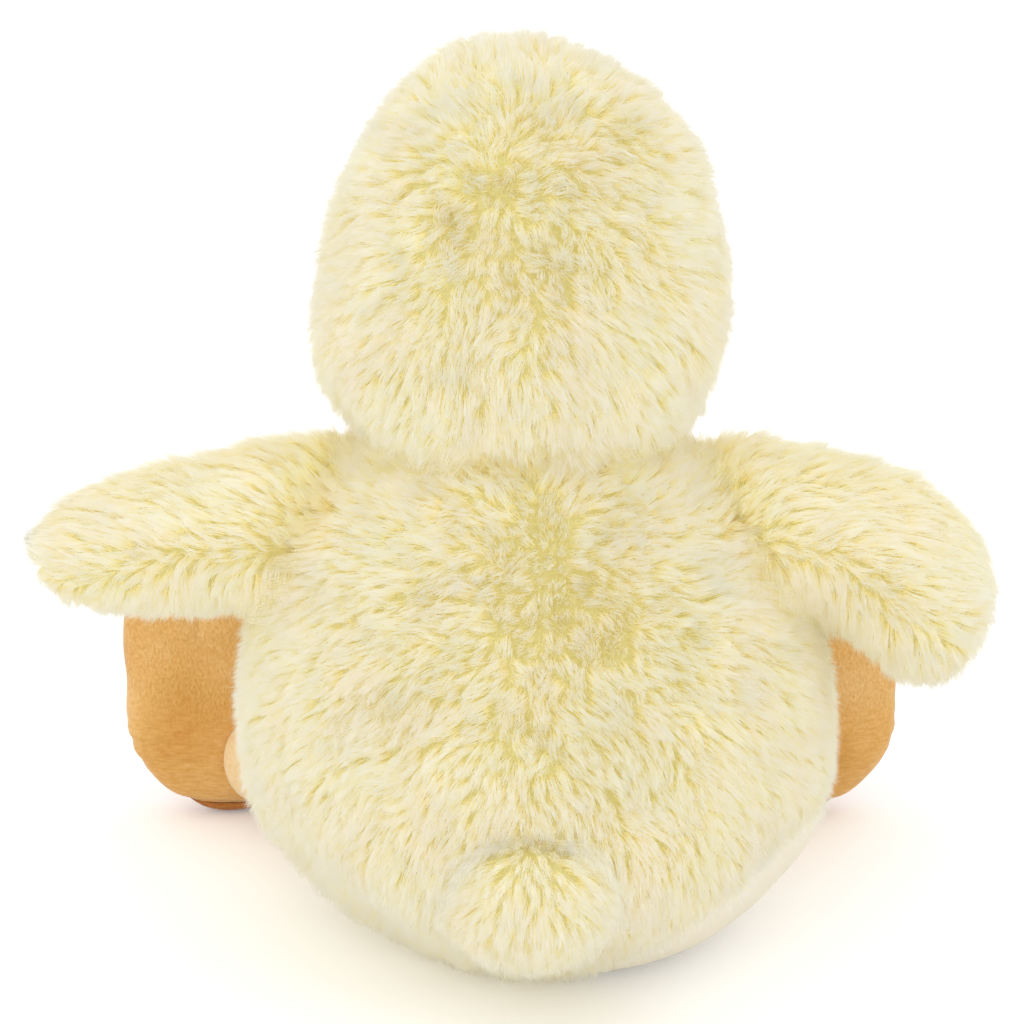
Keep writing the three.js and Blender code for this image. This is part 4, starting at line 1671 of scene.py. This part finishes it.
@dataclass
class Head:
    """The head: fur over a stuffed egg, two eyes with their washers, and a bill of two halves."""

    toy: Toy
    centre: tuple[float, float, float] = (0, -5 * MM, 201 * MM)
    half_width: float = 65 * MM
    half_depth: float = 61 * MM
    crown: float = 92 * MM
    chin: float = 54 * MM
    crown_power: float = 2.1
    chin_power: float = 2.0
    fabric: float = 7 * MM
    neck_centre: tuple[float, float, float] = (0, -2 * MM, 168 * MM)
    neck_radius: float = 47 * MM
    eye_radius: float = 6.5 * MM
    eye_height: float = 6 * MM
    eye_sink: float = 3 * MM
    eye_turn: float = 27.0
    eye_rise: float = 17.0
    shank_radius: float = 2 * MM
    washer_radius: float = 8 * MM
    washer_thickness: float = 1.5 * MM
    bill_height: float = 192 * MM
    bill_half_width: float = 25 * MM
    bill_reach: float = 27 * MM
    bill_root: float = 14 * MM
    bill_rises: tuple[float, float] = (12 * MM, 7 * MM)
    bill_lower_share: float = 0.8
    bill_blunt: float = 2.6
    bill_seam: tuple[float, float] = (1.6 * MM, 1.8 * MM)
    bill_gap: float = 0.15 * MM
    cloth: float = 1 * MM
    neck_bend: tuple[float, float] = (170 * MM, 200 * MM)
    head_filling: float = 5 * MM
    neck_filling: float = 13 * MM
    rim: float = 1 * MM
    bevel: float = 0.4 * MM
    shank_play: float = 0.3 * MM
    whorl: tuple[float, float, float] = (6 * MM, 40 * MM, 264 * MM)
    body_cover: float = 1.5 * MM
    eye_bare: float = 9.5 * MM
    eye_margin: float = 1.8 * MM
    bill_bare_margin: float = 2 * MM
    bill_bare_reach: float = 20 * MM
    bill_bare_height: float = 10 * MM
    bill_clear_height: float = 12 * MM
    bill_clear_share: float = 0.97
    lumps: tuple[Lump, ...] = (
        Lump((62 * MM, -5 * MM, 232 * MM), 34 * MM, -1 * MM),
        Lump((60 * MM, -5 * MM, 190 * MM), 18 * MM, 1.5 * MM),
        Lump((-52 * MM, -5 * MM, 250 * MM), 30 * MM, 3.2 * MM),
    )
    pile: Pile = field(default_factory=Pile)

    def form(self) -> Egg:
        """The head's outer form."""
        return Egg(
            centre=self.centre,
            half_width=self.half_width,
            half_depth=self.half_depth,
            up=self.crown,
            down=self.chin,
            up_power=self.crown_power,
            down_power=self.chin_power,
            lumps=self.lumps,
        )

    def build_backing(self) -> None:
        """Make the fabric's back."""
        nodes = ("head_cover_left", "head_cover_right")
        skin = self.toy.backing("head_backing", self.form(), nodes, 0.8)
        self.bend(skin.piece)

    def bend(self, piece: bpy.types.Object) -> None:
        """Bake a piece's placement into its mesh."""
        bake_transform(piece)

    def build_filling(self) -> None:
        """Make the fibre in the head and in the neck."""
        self.toy.stuffing("head_stuffing", [self.form()], self.fabric + self.head_filling, "head")
        radius = self.neck_radius
        neck = Egg(self.neck_centre, radius, radius, radius, radius, 2, 2)
        self.toy.stuffing("neck_stuffing", [neck], self.neck_filling, "neck")

    def seat(self, side: Side) -> tuple[Points, Points]:
        """Where an eye sits on the outer form, and the outward normal there."""
        turn, rise = math.radians(self.eye_turn) * side.value, math.radians(self.eye_rise)
        share = float(fuller(math.cos(rise), self.crown_power))
        spans = np.array([self.half_width, self.half_depth, self.crown])
        height = float(fuller(math.sin(rise), self.crown_power))
        point = spans * np.array([share * math.sin(turn), -share * math.cos(turn), height])
        return point + np.array(self.centre), unit(point / spans**2)

    def build_eye(self, side: Side) -> None:
        """Make an eye, with its rim and shank, and its washer.

        Args:
            side: The toy's left or right.
        """
        point, normal = self.seat(side)
        bevel, thick = self.bevel, self.washer_thickness
        rim = -self.eye_sink - self.rim
        back = -self.fabric - self.shank_play
        shank_end = back - 3 * thick
        turns = np.linspace(0, math.pi / 2, 14)
        dome = [(self.eye_radius * math.cos(t), self.eye_height * math.sin(t) - self.eye_sink) for t in turns]
        shank = [(0, shank_end), (self.shank_radius, shank_end), (self.shank_radius, rim)]
        edge = [(self.eye_radius - bevel, rim), (self.eye_radius, rim + bevel)]
        eye = revolved(f"eye_{side.word}_dome", shank + edge + dome, point, normal)
        dress(eye, self.toy.finishes.made[Slot.EYE])
        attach(eye, "head")
        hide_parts(f"eye_{side.word}")
        inner, outer = self.shank_radius + self.shank_play, self.washer_radius
        ring = [
            (inner, back - thick), (outer - bevel, back - thick), (outer, back - thick + bevel),
            (outer, back - bevel), (outer - bevel, back), (inner, back), (inner, back - thick),
        ]
        washer = revolved(f"eye_washer_{side.word}_ring", ring, point, normal)
        dress(washer, self.toy.finishes.made[Slot.WASHER])
        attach(washer, "head")
        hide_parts(f"eye_washer_{side.word}")

    def bill_form(self, upper: bool) -> Limb:
        """The form of one half of the bill, before it is cut along the line between the halves.

        Args:
            upper: True for the upper half.

        Returns:
            The form.
        """
        share = 1 if upper else self.bill_lower_share
        face = self.centre[1] - self.half_depth
        start = (0, face + self.bill_root, self.bill_height)
        tip = (0, face - self.bill_reach * share, self.bill_height)
        middle = tuple((a + b) / 2 for a, b in zip(start, tip))
        rise = self.bill_rises[0] if upper else self.bill_rises[1]
        wide = self.bill_half_width * share
        return Limb(start, middle, tip, (1, 0, 0), rise, wide, 1.0, self.bill_blunt)

    def build_bill(self) -> None:
        """Make the two halves of the bill, each drawn in along its seam."""
        for upper in (True, False):
            word = "upper" if upper else "lower"
            skin = Skin(f"bill_{word}_cloth", self.bill_form(upper), 0.2 * MM, 96, 72)
            sign = 1 if upper else -1
            moved_out(skin, seamed(skin.places[:, 2] - self.bill_height, *self.bill_seam))
            parted(skin.piece, (0, 0, self.bill_height + sign * self.bill_gap), (0, 0, sign))
            modified(skin.piece, "SOLIDIFY", thickness=self.cloth, offset=-1)
            dress(skin.piece, self.toy.finishes.made[Slot.ORANGE])
            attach(skin.piece, "head")
            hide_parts(f"bill_{word}")

    def build_fur(self) -> None:
        """Grow the fur, and leave it out under the bill, round the eyes and inside the body."""
        toy = self.toy
        torso = toy.skins["body_backing"]
        nap = Nap(
            source=self.whorl,
            stand_reach=48 * MM,
            down=0.35,
            partings=(Parting(-3 * MM, 6 * MM, 0.6),),
        )
        seats = [self.seat(side) for side in Side]
        bill_at = np.array([
            0, self.centre[1] - self.half_depth + self.fabric, self.bill_height + self.bill_bare_margin
        ])
        wide = self.bill_half_width - self.bill_bare_margin
        bare = np.array([wide, self.bill_bare_reach, self.bill_bare_height])

        def allowed(points: Points, normals: Points) -> Points:
            keep = torso.height(points)[0] > -self.body_cover
            for point, _ in seats:
                keep &= np.linalg.norm(points - point, axis=1) > self.eye_bare
            return keep & (np.linalg.norm((points - bill_at) / bare, axis=1) > 1)

        coat = Grower(toy.skins["head_backing"], self.pile, nap, 12).grow(allowed, [torso])
        clear = np.ones(len(coat.roots), bool)
        for point, normal in seats:
            away = coat.lines[:, 1:] - (point + normal * self.rim)
            clear &= (np.linalg.norm(away, axis=2) > self.eye_radius + self.eye_margin).all(axis=1)
        span = np.array([self.bill_half_width, self.bill_reach + self.fabric, self.bill_clear_height])
        away = (coat.lines[:, 1:] - bill_at) / span
        clear &= (np.linalg.norm(away, axis=2) > self.bill_clear_share).all(axis=1)
        x, y, _ = coat.roots.T
        back = y > self.centre[1]
        pieces = {}
        for word, side in (("left", x > 0), ("right", x <= 0)):
            for place, part in (("back", back), ("front", ~back)):
                pieces[f"head_{word}_{place}_fur"] = (side & part & clear, f"head_cover_{word}")
        for piece in toy.fur(coat, self.pile, pieces, 200):
            self.bend(piece)


@dataclass
class Wing:
    """A stuffed wing of a top and an under panel of fur."""

    toy: Toy
    side: Side
    bend: tuple[float, float]
    tip: tuple[float, float]
    blunt: float
    seed: int
    start: tuple[float, float] = (50 * MM, 141 * MM)
    chord: float = 2 * MM
    half_tall: float = 28 * MM
    half_wide: float = 30 * MM
    root_share: float = 0.9
    fabric: float = 7 * MM
    filling_depth: float = 4 * MM
    bend_from: tuple[float, float] = (52 * MM, 160 * MM)
    bend_to: tuple[float, float] = (82 * MM, 138 * MM)
    cover: float = 1.5 * MM
    lumps: tuple[Lump, ...] = ()
    pile: Pile = field(default_factory=lambda: Pile(
        length=9.0 * MM, root_lift=48, tip_lift=20, laid_gather=0.04, laid_pull=0.04, swirl=24, scatter=5
    ))

    def form(self) -> Limb:
        """The wing's outer form."""
        start, bend, tip = (self.placed(place) for place in (self.start, self.bend, self.tip))
        return Limb(
            start, bend, tip, (0, 1, 0), self.half_tall, self.half_wide, self.root_share, self.blunt,
            lumps=self.lumps,
        )

    def placed(self, place: tuple[float, float]) -> tuple[float, float, float]:
        """A place in the wing's plane, on its own side."""
        x, z = place
        return (self.side.value * x, self.chord, z)

    @property
    def body(self) -> str:
        """The body that the wing rides on."""
        return f"wing_{self.side.word}"

    def bent(self, piece: bpy.types.Object) -> None:
        """Bake a piece's placement into its mesh."""
        start, end = self.placed(self.bend_from), self.placed(self.bend_to)
        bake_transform(piece)

    def build_backing(self) -> None:
        """Make the fabric's back."""
        nodes = (f"{self.body}_top", f"{self.body}_under")
        skin = self.toy.backing(f"{self.body}_backing", self.form(), nodes, 0.6)
        self.bent(skin.piece)

    def build_filling(self) -> None:
        """Make the fibre."""
        depth = self.fabric + self.filling_depth
        self.toy.stuffing(f"{self.body}_stuffing", [self.form()], depth, self.body)

    def build_fur(self) -> None:
        """Grow the fur of both panels outside the body and the head."""
        toy = self.toy
        others = [toy.skins["body_backing"], toy.skins["head_backing"]]

        def allowed(points: Points, normals: Points) -> Points:
            keep = np.ones(len(points), bool)
            for other in others:
                keep &= other.height(points)[0] > -self.cover
            return keep

        limb = self.form()
        grower = Grower(toy.skins[f"{self.body}_backing"], self.pile, WingNap(limb), self.seed)
        coat = grower.grow(allowed, others)
        middle, _ = limb.middle(limb.along(coat.roots))
        above = coat.roots[:, 2] > middle[:, 2]
        pieces = {
            f"{self.body}_top_fur": (above, f"{self.body}_top"),
            f"{self.body}_under_fur": (~above, f"{self.body}_under"),
        }
        for piece in toy.fur(coat, self.pile, pieces, 10 * self.seed):
            self.bent(piece)


@dataclass
class Tail:
    """A short stuffed tail."""

    toy: Toy
    root: tuple[float, float, float] = (-4 * MM, 70 * MM, 44 * MM)
    half_width: float = 34 * MM
    half_tall: float = 30 * MM
    length: float = 45 * MM
    flare: float = 0.95
    blunt: float = 1.8
    swell_reach: float = 0.85
    rise: float = 22.0
    fabric: float = 7 * MM
    filling_depth: float = 4 * MM
    bend_length: float = 16 * MM
    fan_back: float = 12 * MM
    fan_up: float = 15 * MM
    cover: float = 1.5 * MM
    pile: Pile = field(default_factory=Pile)

    def point(self, along: float) -> tuple[float, float, float]:
        """A point of the middle line, at a distance from the root."""
        rise = math.radians(self.rise)
        x, y, z = self.root
        return (x, y + along * math.cos(rise), z + along * math.sin(rise))

    def form(self) -> Limb:
        """The tail's outer form."""
        bend, tip = self.point(self.length / 2), self.point(self.length)
        return Limb(
            self.root, bend, tip, (1, 0, 0), self.half_tall, self.half_width, self.flare, self.blunt,
            swell_reach=self.swell_reach,
        )

    def bent(self, piece: bpy.types.Object) -> None:
        """Bake a piece's placement into its mesh."""
        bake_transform(piece)

    def build_backing(self) -> None:
        """Make the fabric's back."""
        skin = self.toy.backing("tail_backing", self.form(), ("tail_cover",), 0.6)
        self.bent(skin.piece)

    def build_filling(self) -> None:
        """Make the fibre."""
        self.toy.stuffing("tail_stuffing", [self.form()], self.fabric + self.filling_depth, "tail")

    def build_fur(self) -> None:
        """Grow the fur outside the body."""
        torso = self.toy.skins["body_backing"]

        def allowed(points: Points, normals: Points) -> Points:
            return torso.height(points)[0] > -self.cover

        x, y, z = self.point(self.length - self.fabric)
        nap = TailNap((x, y - self.fan_back, z + self.fan_up))
        coat = Grower(self.toy.skins["tail_backing"], self.pile, nap, 15).grow(allowed, [], [torso])
        everything = np.ones(len(coat.roots), bool)
        for piece in self.toy.fur(coat, self.pile, {"tail_fur": (everything, "tail_cover")}, 300):
            self.bent(piece)


@dataclass(frozen=True)
class FootShape(Form):
    """A pillow with the outline of a webbed foot, standing upright and turned outwards."""

    centre: tuple[float, float]
    side: Side
    half_width: float = 36.5 * MM
    half_thick: float = 14 * MM
    height: float = 96 * MM
    toe_centre: float = 64 * MM
    edge_power: float = 2.6
    toes: int = 3
    toe_depth: float = 5 * MM
    toe_fade: float = 0.25
    splay: float = 8.0
    lean: float = 9.0

    def matrix(self) -> Matrix:
        """From the foot's own upright plane to its place."""
        x, y = self.centre
        turn = Matrix.Rotation(math.radians(self.side.value * self.splay), 4, "Z")
        return Matrix.Translation((x, y, 0)) @ turn @ Matrix.Rotation(math.radians(self.lean), 4, "X")

    def outline(self, inset: float) -> Points:
        """The outline in the foot's own plane, anticlockwise from its outer side.

        Args:
            inset: How far within the outer form.

        Returns:
            Places in the plane.
        """
        wide = self.half_width - inset
        upper = np.linspace(0, math.pi, 181)
        lower = np.linspace(math.pi, 2 * math.pi, 121)
        lobes = self.toe_depth * (1 - np.abs(np.cos(self.toes * upper + math.pi / 2)))
        lobes *= smoothstep(0, self.toe_fade, np.sin(upper))
        top = (self.height - self.toe_centre - inset) * fuller(np.sin(upper), self.edge_power) - lobes
        return np.concatenate((
            np.column_stack((wide * fuller(np.cos(upper), self.edge_power), self.toe_centre + top)),
            np.column_stack((wide * np.cos(lower), self.half_width + wide * np.sin(lower))),
        ))

    def at(self, ball: Points, inset: float) -> Points:
        """See Form.

        Args:
            ball: Places on the unit ball.
            inset: How far within the outer form.

        Returns:
            Places on the form.
        """
        outline = self.outline(inset)
        outline = np.concatenate((outline, outline[:1]))
        gone = np.concatenate(([0], np.cumsum(np.linalg.norm(np.diff(outline, axis=0), axis=1))))
        share = (np.arctan2(ball[:, 1], ball[:, 0]) / (2 * np.pi)) % 1 * gone[-1]
        edge = np.column_stack([np.interp(share, gone, outline[:, k]) for k in (0, 1)])
        across = np.sqrt(np.maximum(1 - ball[:, 2] ** 2, 0)) ** (2 / self.edge_power)
        middle = self.height / 2
        thick = (self.half_thick - inset) * fuller(ball[:, 2], self.edge_power)
        local = np.column_stack((edge[:, 0] * across, -thick, middle + (edge[:, 1] - middle) * across))
        matrix = np.array(self.matrix())
        places = local @ matrix[:3, :3].T + matrix[:3, 3]
        places[:, 2] = np.maximum(places[:, 2], inset * 0.5)
        return places

    def local(self, points: Points) -> Points:
        """Points in the foot's own frame."""
        matrix = np.array(self.matrix().inverted())
        return points @ matrix[:3, :3].T + matrix[:3, 3]


@dataclass
class Leg:
    """A leg and its foot: a tube of short-pile cloth, the foot's upper and its sole."""

    toy: Toy
    side: Side
    foot_x: float
    foot_y: float = -85 * MM
    hip: tuple[float, float, float] = (58 * MM, -34 * MM, 28 * MM)
    radius: float = 15 * MM
    ankle_radius: float = 12 * MM
    ankle_height: float = 23 * MM
    sole_line: float = 5 * MM
    heel_line: float = 7 * MM
    heel_slant: float = 0.3
    under: float = 0.2 * MM
    cloth: float = 1.2 * MM
    seam: tuple[float, float] = (1.5 * MM, 1.5 * MM)
    seam_gap: float = 0.15 * MM
    toe_seam: tuple[float, float] = (1.6 * MM, 1.6 * MM)
    toe_from: float = 56 * MM
    toe_to: float = 74 * MM
    fold_depth: float = 0.55 * MM
    fold_pitch: float = 1.15 * MM
    fold_wave: Patches = Patches(2.4, 14 * MM, 21)
    fold_patches: Patches = Patches(1.0, 17 * MM, 22)
    fold_share: float = 0.25
    fold_from: float = 50 * MM
    fold_to: float = 26 * MM
    foot_uneven: Patches = Patches(0.9 * MM, 15 * MM, 23)
    leg_uneven: Patches = Patches(0.8 * MM, 12 * MM, 31)
    leg_floor: float = 0.4 * MM
    tip_back: float = 5 * MM
    bend_from: float = 8 * MM
    bend_to: float = 26 * MM
    filling_depth: float = 4 * MM

    @property
    def body(self) -> str:
        """The body that the leg rides on."""
        return f"leg_{self.side.word}"

    def foot(self) -> FootShape:
        """The foot's outer form."""
        return FootShape((self.side.value * self.foot_x, self.foot_y), self.side)

    def tube(self, radius: float) -> Limb:
        """A straight limb from the hip to the foot's middle."""
        sign = self.side.value
        x, y, z = self.hip
        start = (sign * x, y, z)
        tip = (sign * (self.foot_x - self.tip_back), self.foot_y + self.tip_back, self.ankle_height)
        middle = tuple((a + b) / 2 for a, b in zip(start, tip))
        return Limb(start, middle, tip, (1, 0, 0), radius, radius, 0.9, 8)

    def build_foot(self) -> None:
        """Make the foot's upper and sole: one pillow, drawn in along its seam and toes, then parted."""
        shape = self.foot()
        skin = Skin(f"foot_{self.side.word}_upper_cloth", shape, self.under, 144, 96)
        local = shape.local(skin.places)
        front = local[:, 1] + self.sole_line
        heel = local[:, 2] - self.heel_line + self.heel_slant * front
        moved_out(skin, seamed(np.minimum(front, heel), *self.seam))
        toe_reach = smoothstep(self.toe_from, self.toe_to, local[:, 2])
        dent = seamed(np.abs(local[:, 0]) - shape.half_width / 3, *self.toe_seam) * toe_reach
        moved_out(skin, dent + self.folds(skin.places, local[:, 2]) + self.foot_uneven.at(skin.places, 0))
        sole = copied(skin.piece, f"foot_{self.side.word}_sole_cloth")
        heel_piece = copied(skin.piece, "heel")
        matrix = shape.matrix()
        point = matrix @ Vector((0, -self.sole_line, self.heel_line))
        forward = (matrix.to_3x3() @ Vector((0, 1, 0))).normalized()
        upward = (matrix.to_3x3() @ Vector((0, self.heel_slant, 1))).normalized()
        gap = self.seam_gap
        parted(skin.piece, point + forward * gap, forward)
        parted(skin.piece, point + upward * gap, upward)
        parted(sole, point - forward * gap, -forward)
        parted(heel_piece, point - forward * gap, forward)
        parted(heel_piece, point - upward * gap, -upward)
        sole = joined([sole, heel_piece])
        merged(sole, 0.02 * MM)
        for piece, slot, node in ((skin.piece, Slot.ORANGE, "upper"), (sole, Slot.SOLE, "sole")):
            modified(piece, "SOLIDIFY", thickness=self.cloth, offset=-1)
            chosen_only(piece)
            bpy.ops.object.shade_smooth()
            dress(piece, self.toy.finishes.made[slot])
            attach(piece, self.body)
            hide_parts(f"foot_{self.side.word}_{node}")

    def folds(self, places: Points, height: Points) -> Points:
        """How far fine folds across the foot's lower half stand out."""
        low = smoothstep(self.fold_from, self.fold_to, height)
        folds = np.sin(height / self.fold_pitch + self.fold_wave.at(places, 0))
        patches = np.clip(self.fold_share + self.fold_patches.at(places, 0), 0, 1)
        return self.fold_depth * folds * patches * low

    def build_leg(self) -> None:
        """Make the leg's cover."""
        skin = Skin(f"{self.body}_cover_cloth", self.tube(self.radius), self.under, 96, 64)
        places = skin.places.copy()
        places[:, 2] = np.maximum(places[:, 2], self.leg_floor)
        moved_to(skin, places)
        moved_out(skin, self.leg_uneven.at(skin.places, 0) * (skin.places[:, 2] > 2 * MM))
        dress(skin.piece, self.toy.finishes.made[Slot.PEACH])
        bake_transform(skin.piece)
        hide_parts(f"{self.body}_cover")

    def build_filling(self) -> None:
        """Make the fibre in the leg and the foot."""
        forms = [self.tube(self.ankle_radius), self.foot()]
        self.toy.stuffing(f"{self.body}_stuffing", forms, self.filling_depth, self.body)


@dataclass(frozen=True)
class Studio:
    """A pale floor, soft light and the camera."""

    target: tuple[float, float, float] = (2.5 * MM, 0, 140 * MM)
    distance: float = 1.7
    elevation: float = 21.0
    lens: float = 190.6
    ambient: float = 1.06
    key_power: float = 3.0
    key_size: float = 1.4
    key_place: tuple[float, float, float] = (0.9, 1.3, 1.7)
    floor_half: float = 4.0
    floor_gap: float = 0.2 * MM
    floor_tone: float = 0.93
    floor_glow: float = 0.22
    white: Colour = (1, 1, 1, 1)

    def build(self) -> None:
        """Make the studio."""
        scene = bpy.context.scene
        scene.view_settings.view_transform = "Standard"
        rise = math.radians(self.elevation)
        away = Vector((0, math.cos(rise), math.sin(rise)))
        bpy.ops.object.camera_add(location=Vector(self.target) + away * self.distance)
        camera = bpy.context.object
        camera.rotation_euler = (-away).to_track_quat("-Z", "Y").to_euler()
        camera.data.lens = self.lens
        camera.data.sensor_width = 36
        scene.camera = camera
        self.light_world()
        self.light_key()
        self.lay_floor()

    def light_world(self) -> None:
        """Light evenly from all round, and show white to the camera and in gloss."""
        world = bpy.data.worlds.new("studio")
        bpy.context.scene.world = world
        world.use_nodes = True
        nodes, links = world.node_tree.nodes, world.node_tree.links
        lit = nodes["Background"]
        lit.inputs["Color"].default_value = self.white
        lit.inputs["Strength"].default_value = self.ambient
        seen = nodes.new("ShaderNodeBackground")
        seen.inputs["Color"].default_value = self.white
        seen.inputs["Strength"].default_value = 1
        path = nodes.new("ShaderNodeLightPath")
        total = path.outputs["Is Camera Ray"]
        for ray in ("Is Glossy Ray", "Is Transmission Ray"):
            added = nodes.new("ShaderNodeMath")
            added.operation = "MAXIMUM"
            links.new(total, added.inputs[0])
            links.new(path.outputs[ray], added.inputs[1])
            total = added.outputs[0]
        mixed = nodes.new("ShaderNodeMixShader")
        links.new(total, mixed.inputs["Fac"])
        links.new(lit.outputs[0], mixed.inputs[1])
        links.new(seen.outputs[0], mixed.inputs[2])
        links.new(mixed.outputs[0], nodes["World Output"].inputs["Surface"])

    def light_key(self) -> None:
        """Hang a large soft lamp above and to the left of the camera."""
        place = Vector(self.key_place)
        bpy.ops.object.light_add(type="AREA", location=place)
        lamp = bpy.context.object
        lamp.data.energy = self.key_power
        lamp.data.size = self.key_size
        lamp.rotation_euler = (Vector(self.target) - place).to_track_quat("-Z", "Y").to_euler()

    def lay_floor(self) -> None:
        """Lay the floor, which is white to the camera but for the toy's shadow."""
        bpy.ops.mesh.primitive_plane_add(size=2 * self.floor_half, location=(0, 0, -self.floor_gap))
        floor = bpy.context.object
        floor.name = "floor"
        made = Shader("floor", 0.9)
        tone = self.floor_tone
        made.colour((tone, tone, tone, 1))
        path = made.node("ShaderNodeLightPath")
        made.feed(made.surface.inputs["Emission Color"], self.white)
        glossy = Value(made, path.outputs["Is Glossy Ray"])
        seen = Value(made, path.outputs["Is Camera Ray"]).math("MAXIMUM", glossy)
        made.feed(made.surface.inputs["Emission Strength"], seen * self.floor_glow)
        floor.data.materials.append(made.material)


def left_wing(toy: Toy) -> Wing:
    """The left wing, which is held out level.

    Args:
        toy: The whole toy.

    Returns:
        The wing.
    """
    lumps = (
        Lump((128 * MM, 2 * MM, 146 * MM), 24 * MM, 3 * MM),
        Lump((66 * MM, 2 * MM, 165 * MM), 20 * MM, 4 * MM),
        Lump((148 * MM, 2 * MM, 106 * MM), 17 * MM, -4 * MM),
    )
    bend, tip = (88 * MM, 137 * MM), (155 * MM, 122 * MM)
    return Wing(toy, Side.LEFT, bend, tip, blunt=2.6, seed=13, lumps=lumps)


def right_wing(toy: Toy) -> Wing:
    """The right wing, which droops at its tip.

    Args:
        toy: The whole toy.

    Returns:
        The wing.
    """
    lumps = (
        Lump((-137 * MM, 2 * MM, 136 * MM), 24 * MM, 5 * MM),
        Lump((-80 * MM, 2 * MM, 163 * MM), 20 * MM, -2 * MM),
        Lump((-147 * MM, 2 * MM, 88 * MM), 18 * MM, -4.5 * MM),
    )
    bend, tip = (125 * MM, 144 * MM), (134 * MM, 83 * MM)
    return Wing(toy, Side.RIGHT, bend, tip, blunt=3.2, seed=14, lumps=lumps)


def main() -> None:
    """Build the studio, every skin and filling, and then the fur."""
    logging.basicConfig(level=logging.INFO, format="%(name)s: %(message)s")
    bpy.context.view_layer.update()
    Studio().build()
    toy = Toy()
    torso, head, tail = Torso(toy), Head(toy), Tail(toy)
    wings = [left_wing(toy), right_wing(toy)]
    legs = [Leg(toy, Side.LEFT, 95 * MM), Leg(toy, Side.RIGHT, 89 * MM)]
    for part in (torso, head, tail, *wings):
        part.build_backing()
        part.build_filling()
    torso.build_base()
    head.build_bill()
    for side in Side:
        head.build_eye(side)
    for leg in legs:
        leg.build_foot()
        leg.build_leg()
        leg.build_filling()
    for part in (torso, head, tail, *wings):
        part.build_fur()


if __name__ == "__main__":
    main()
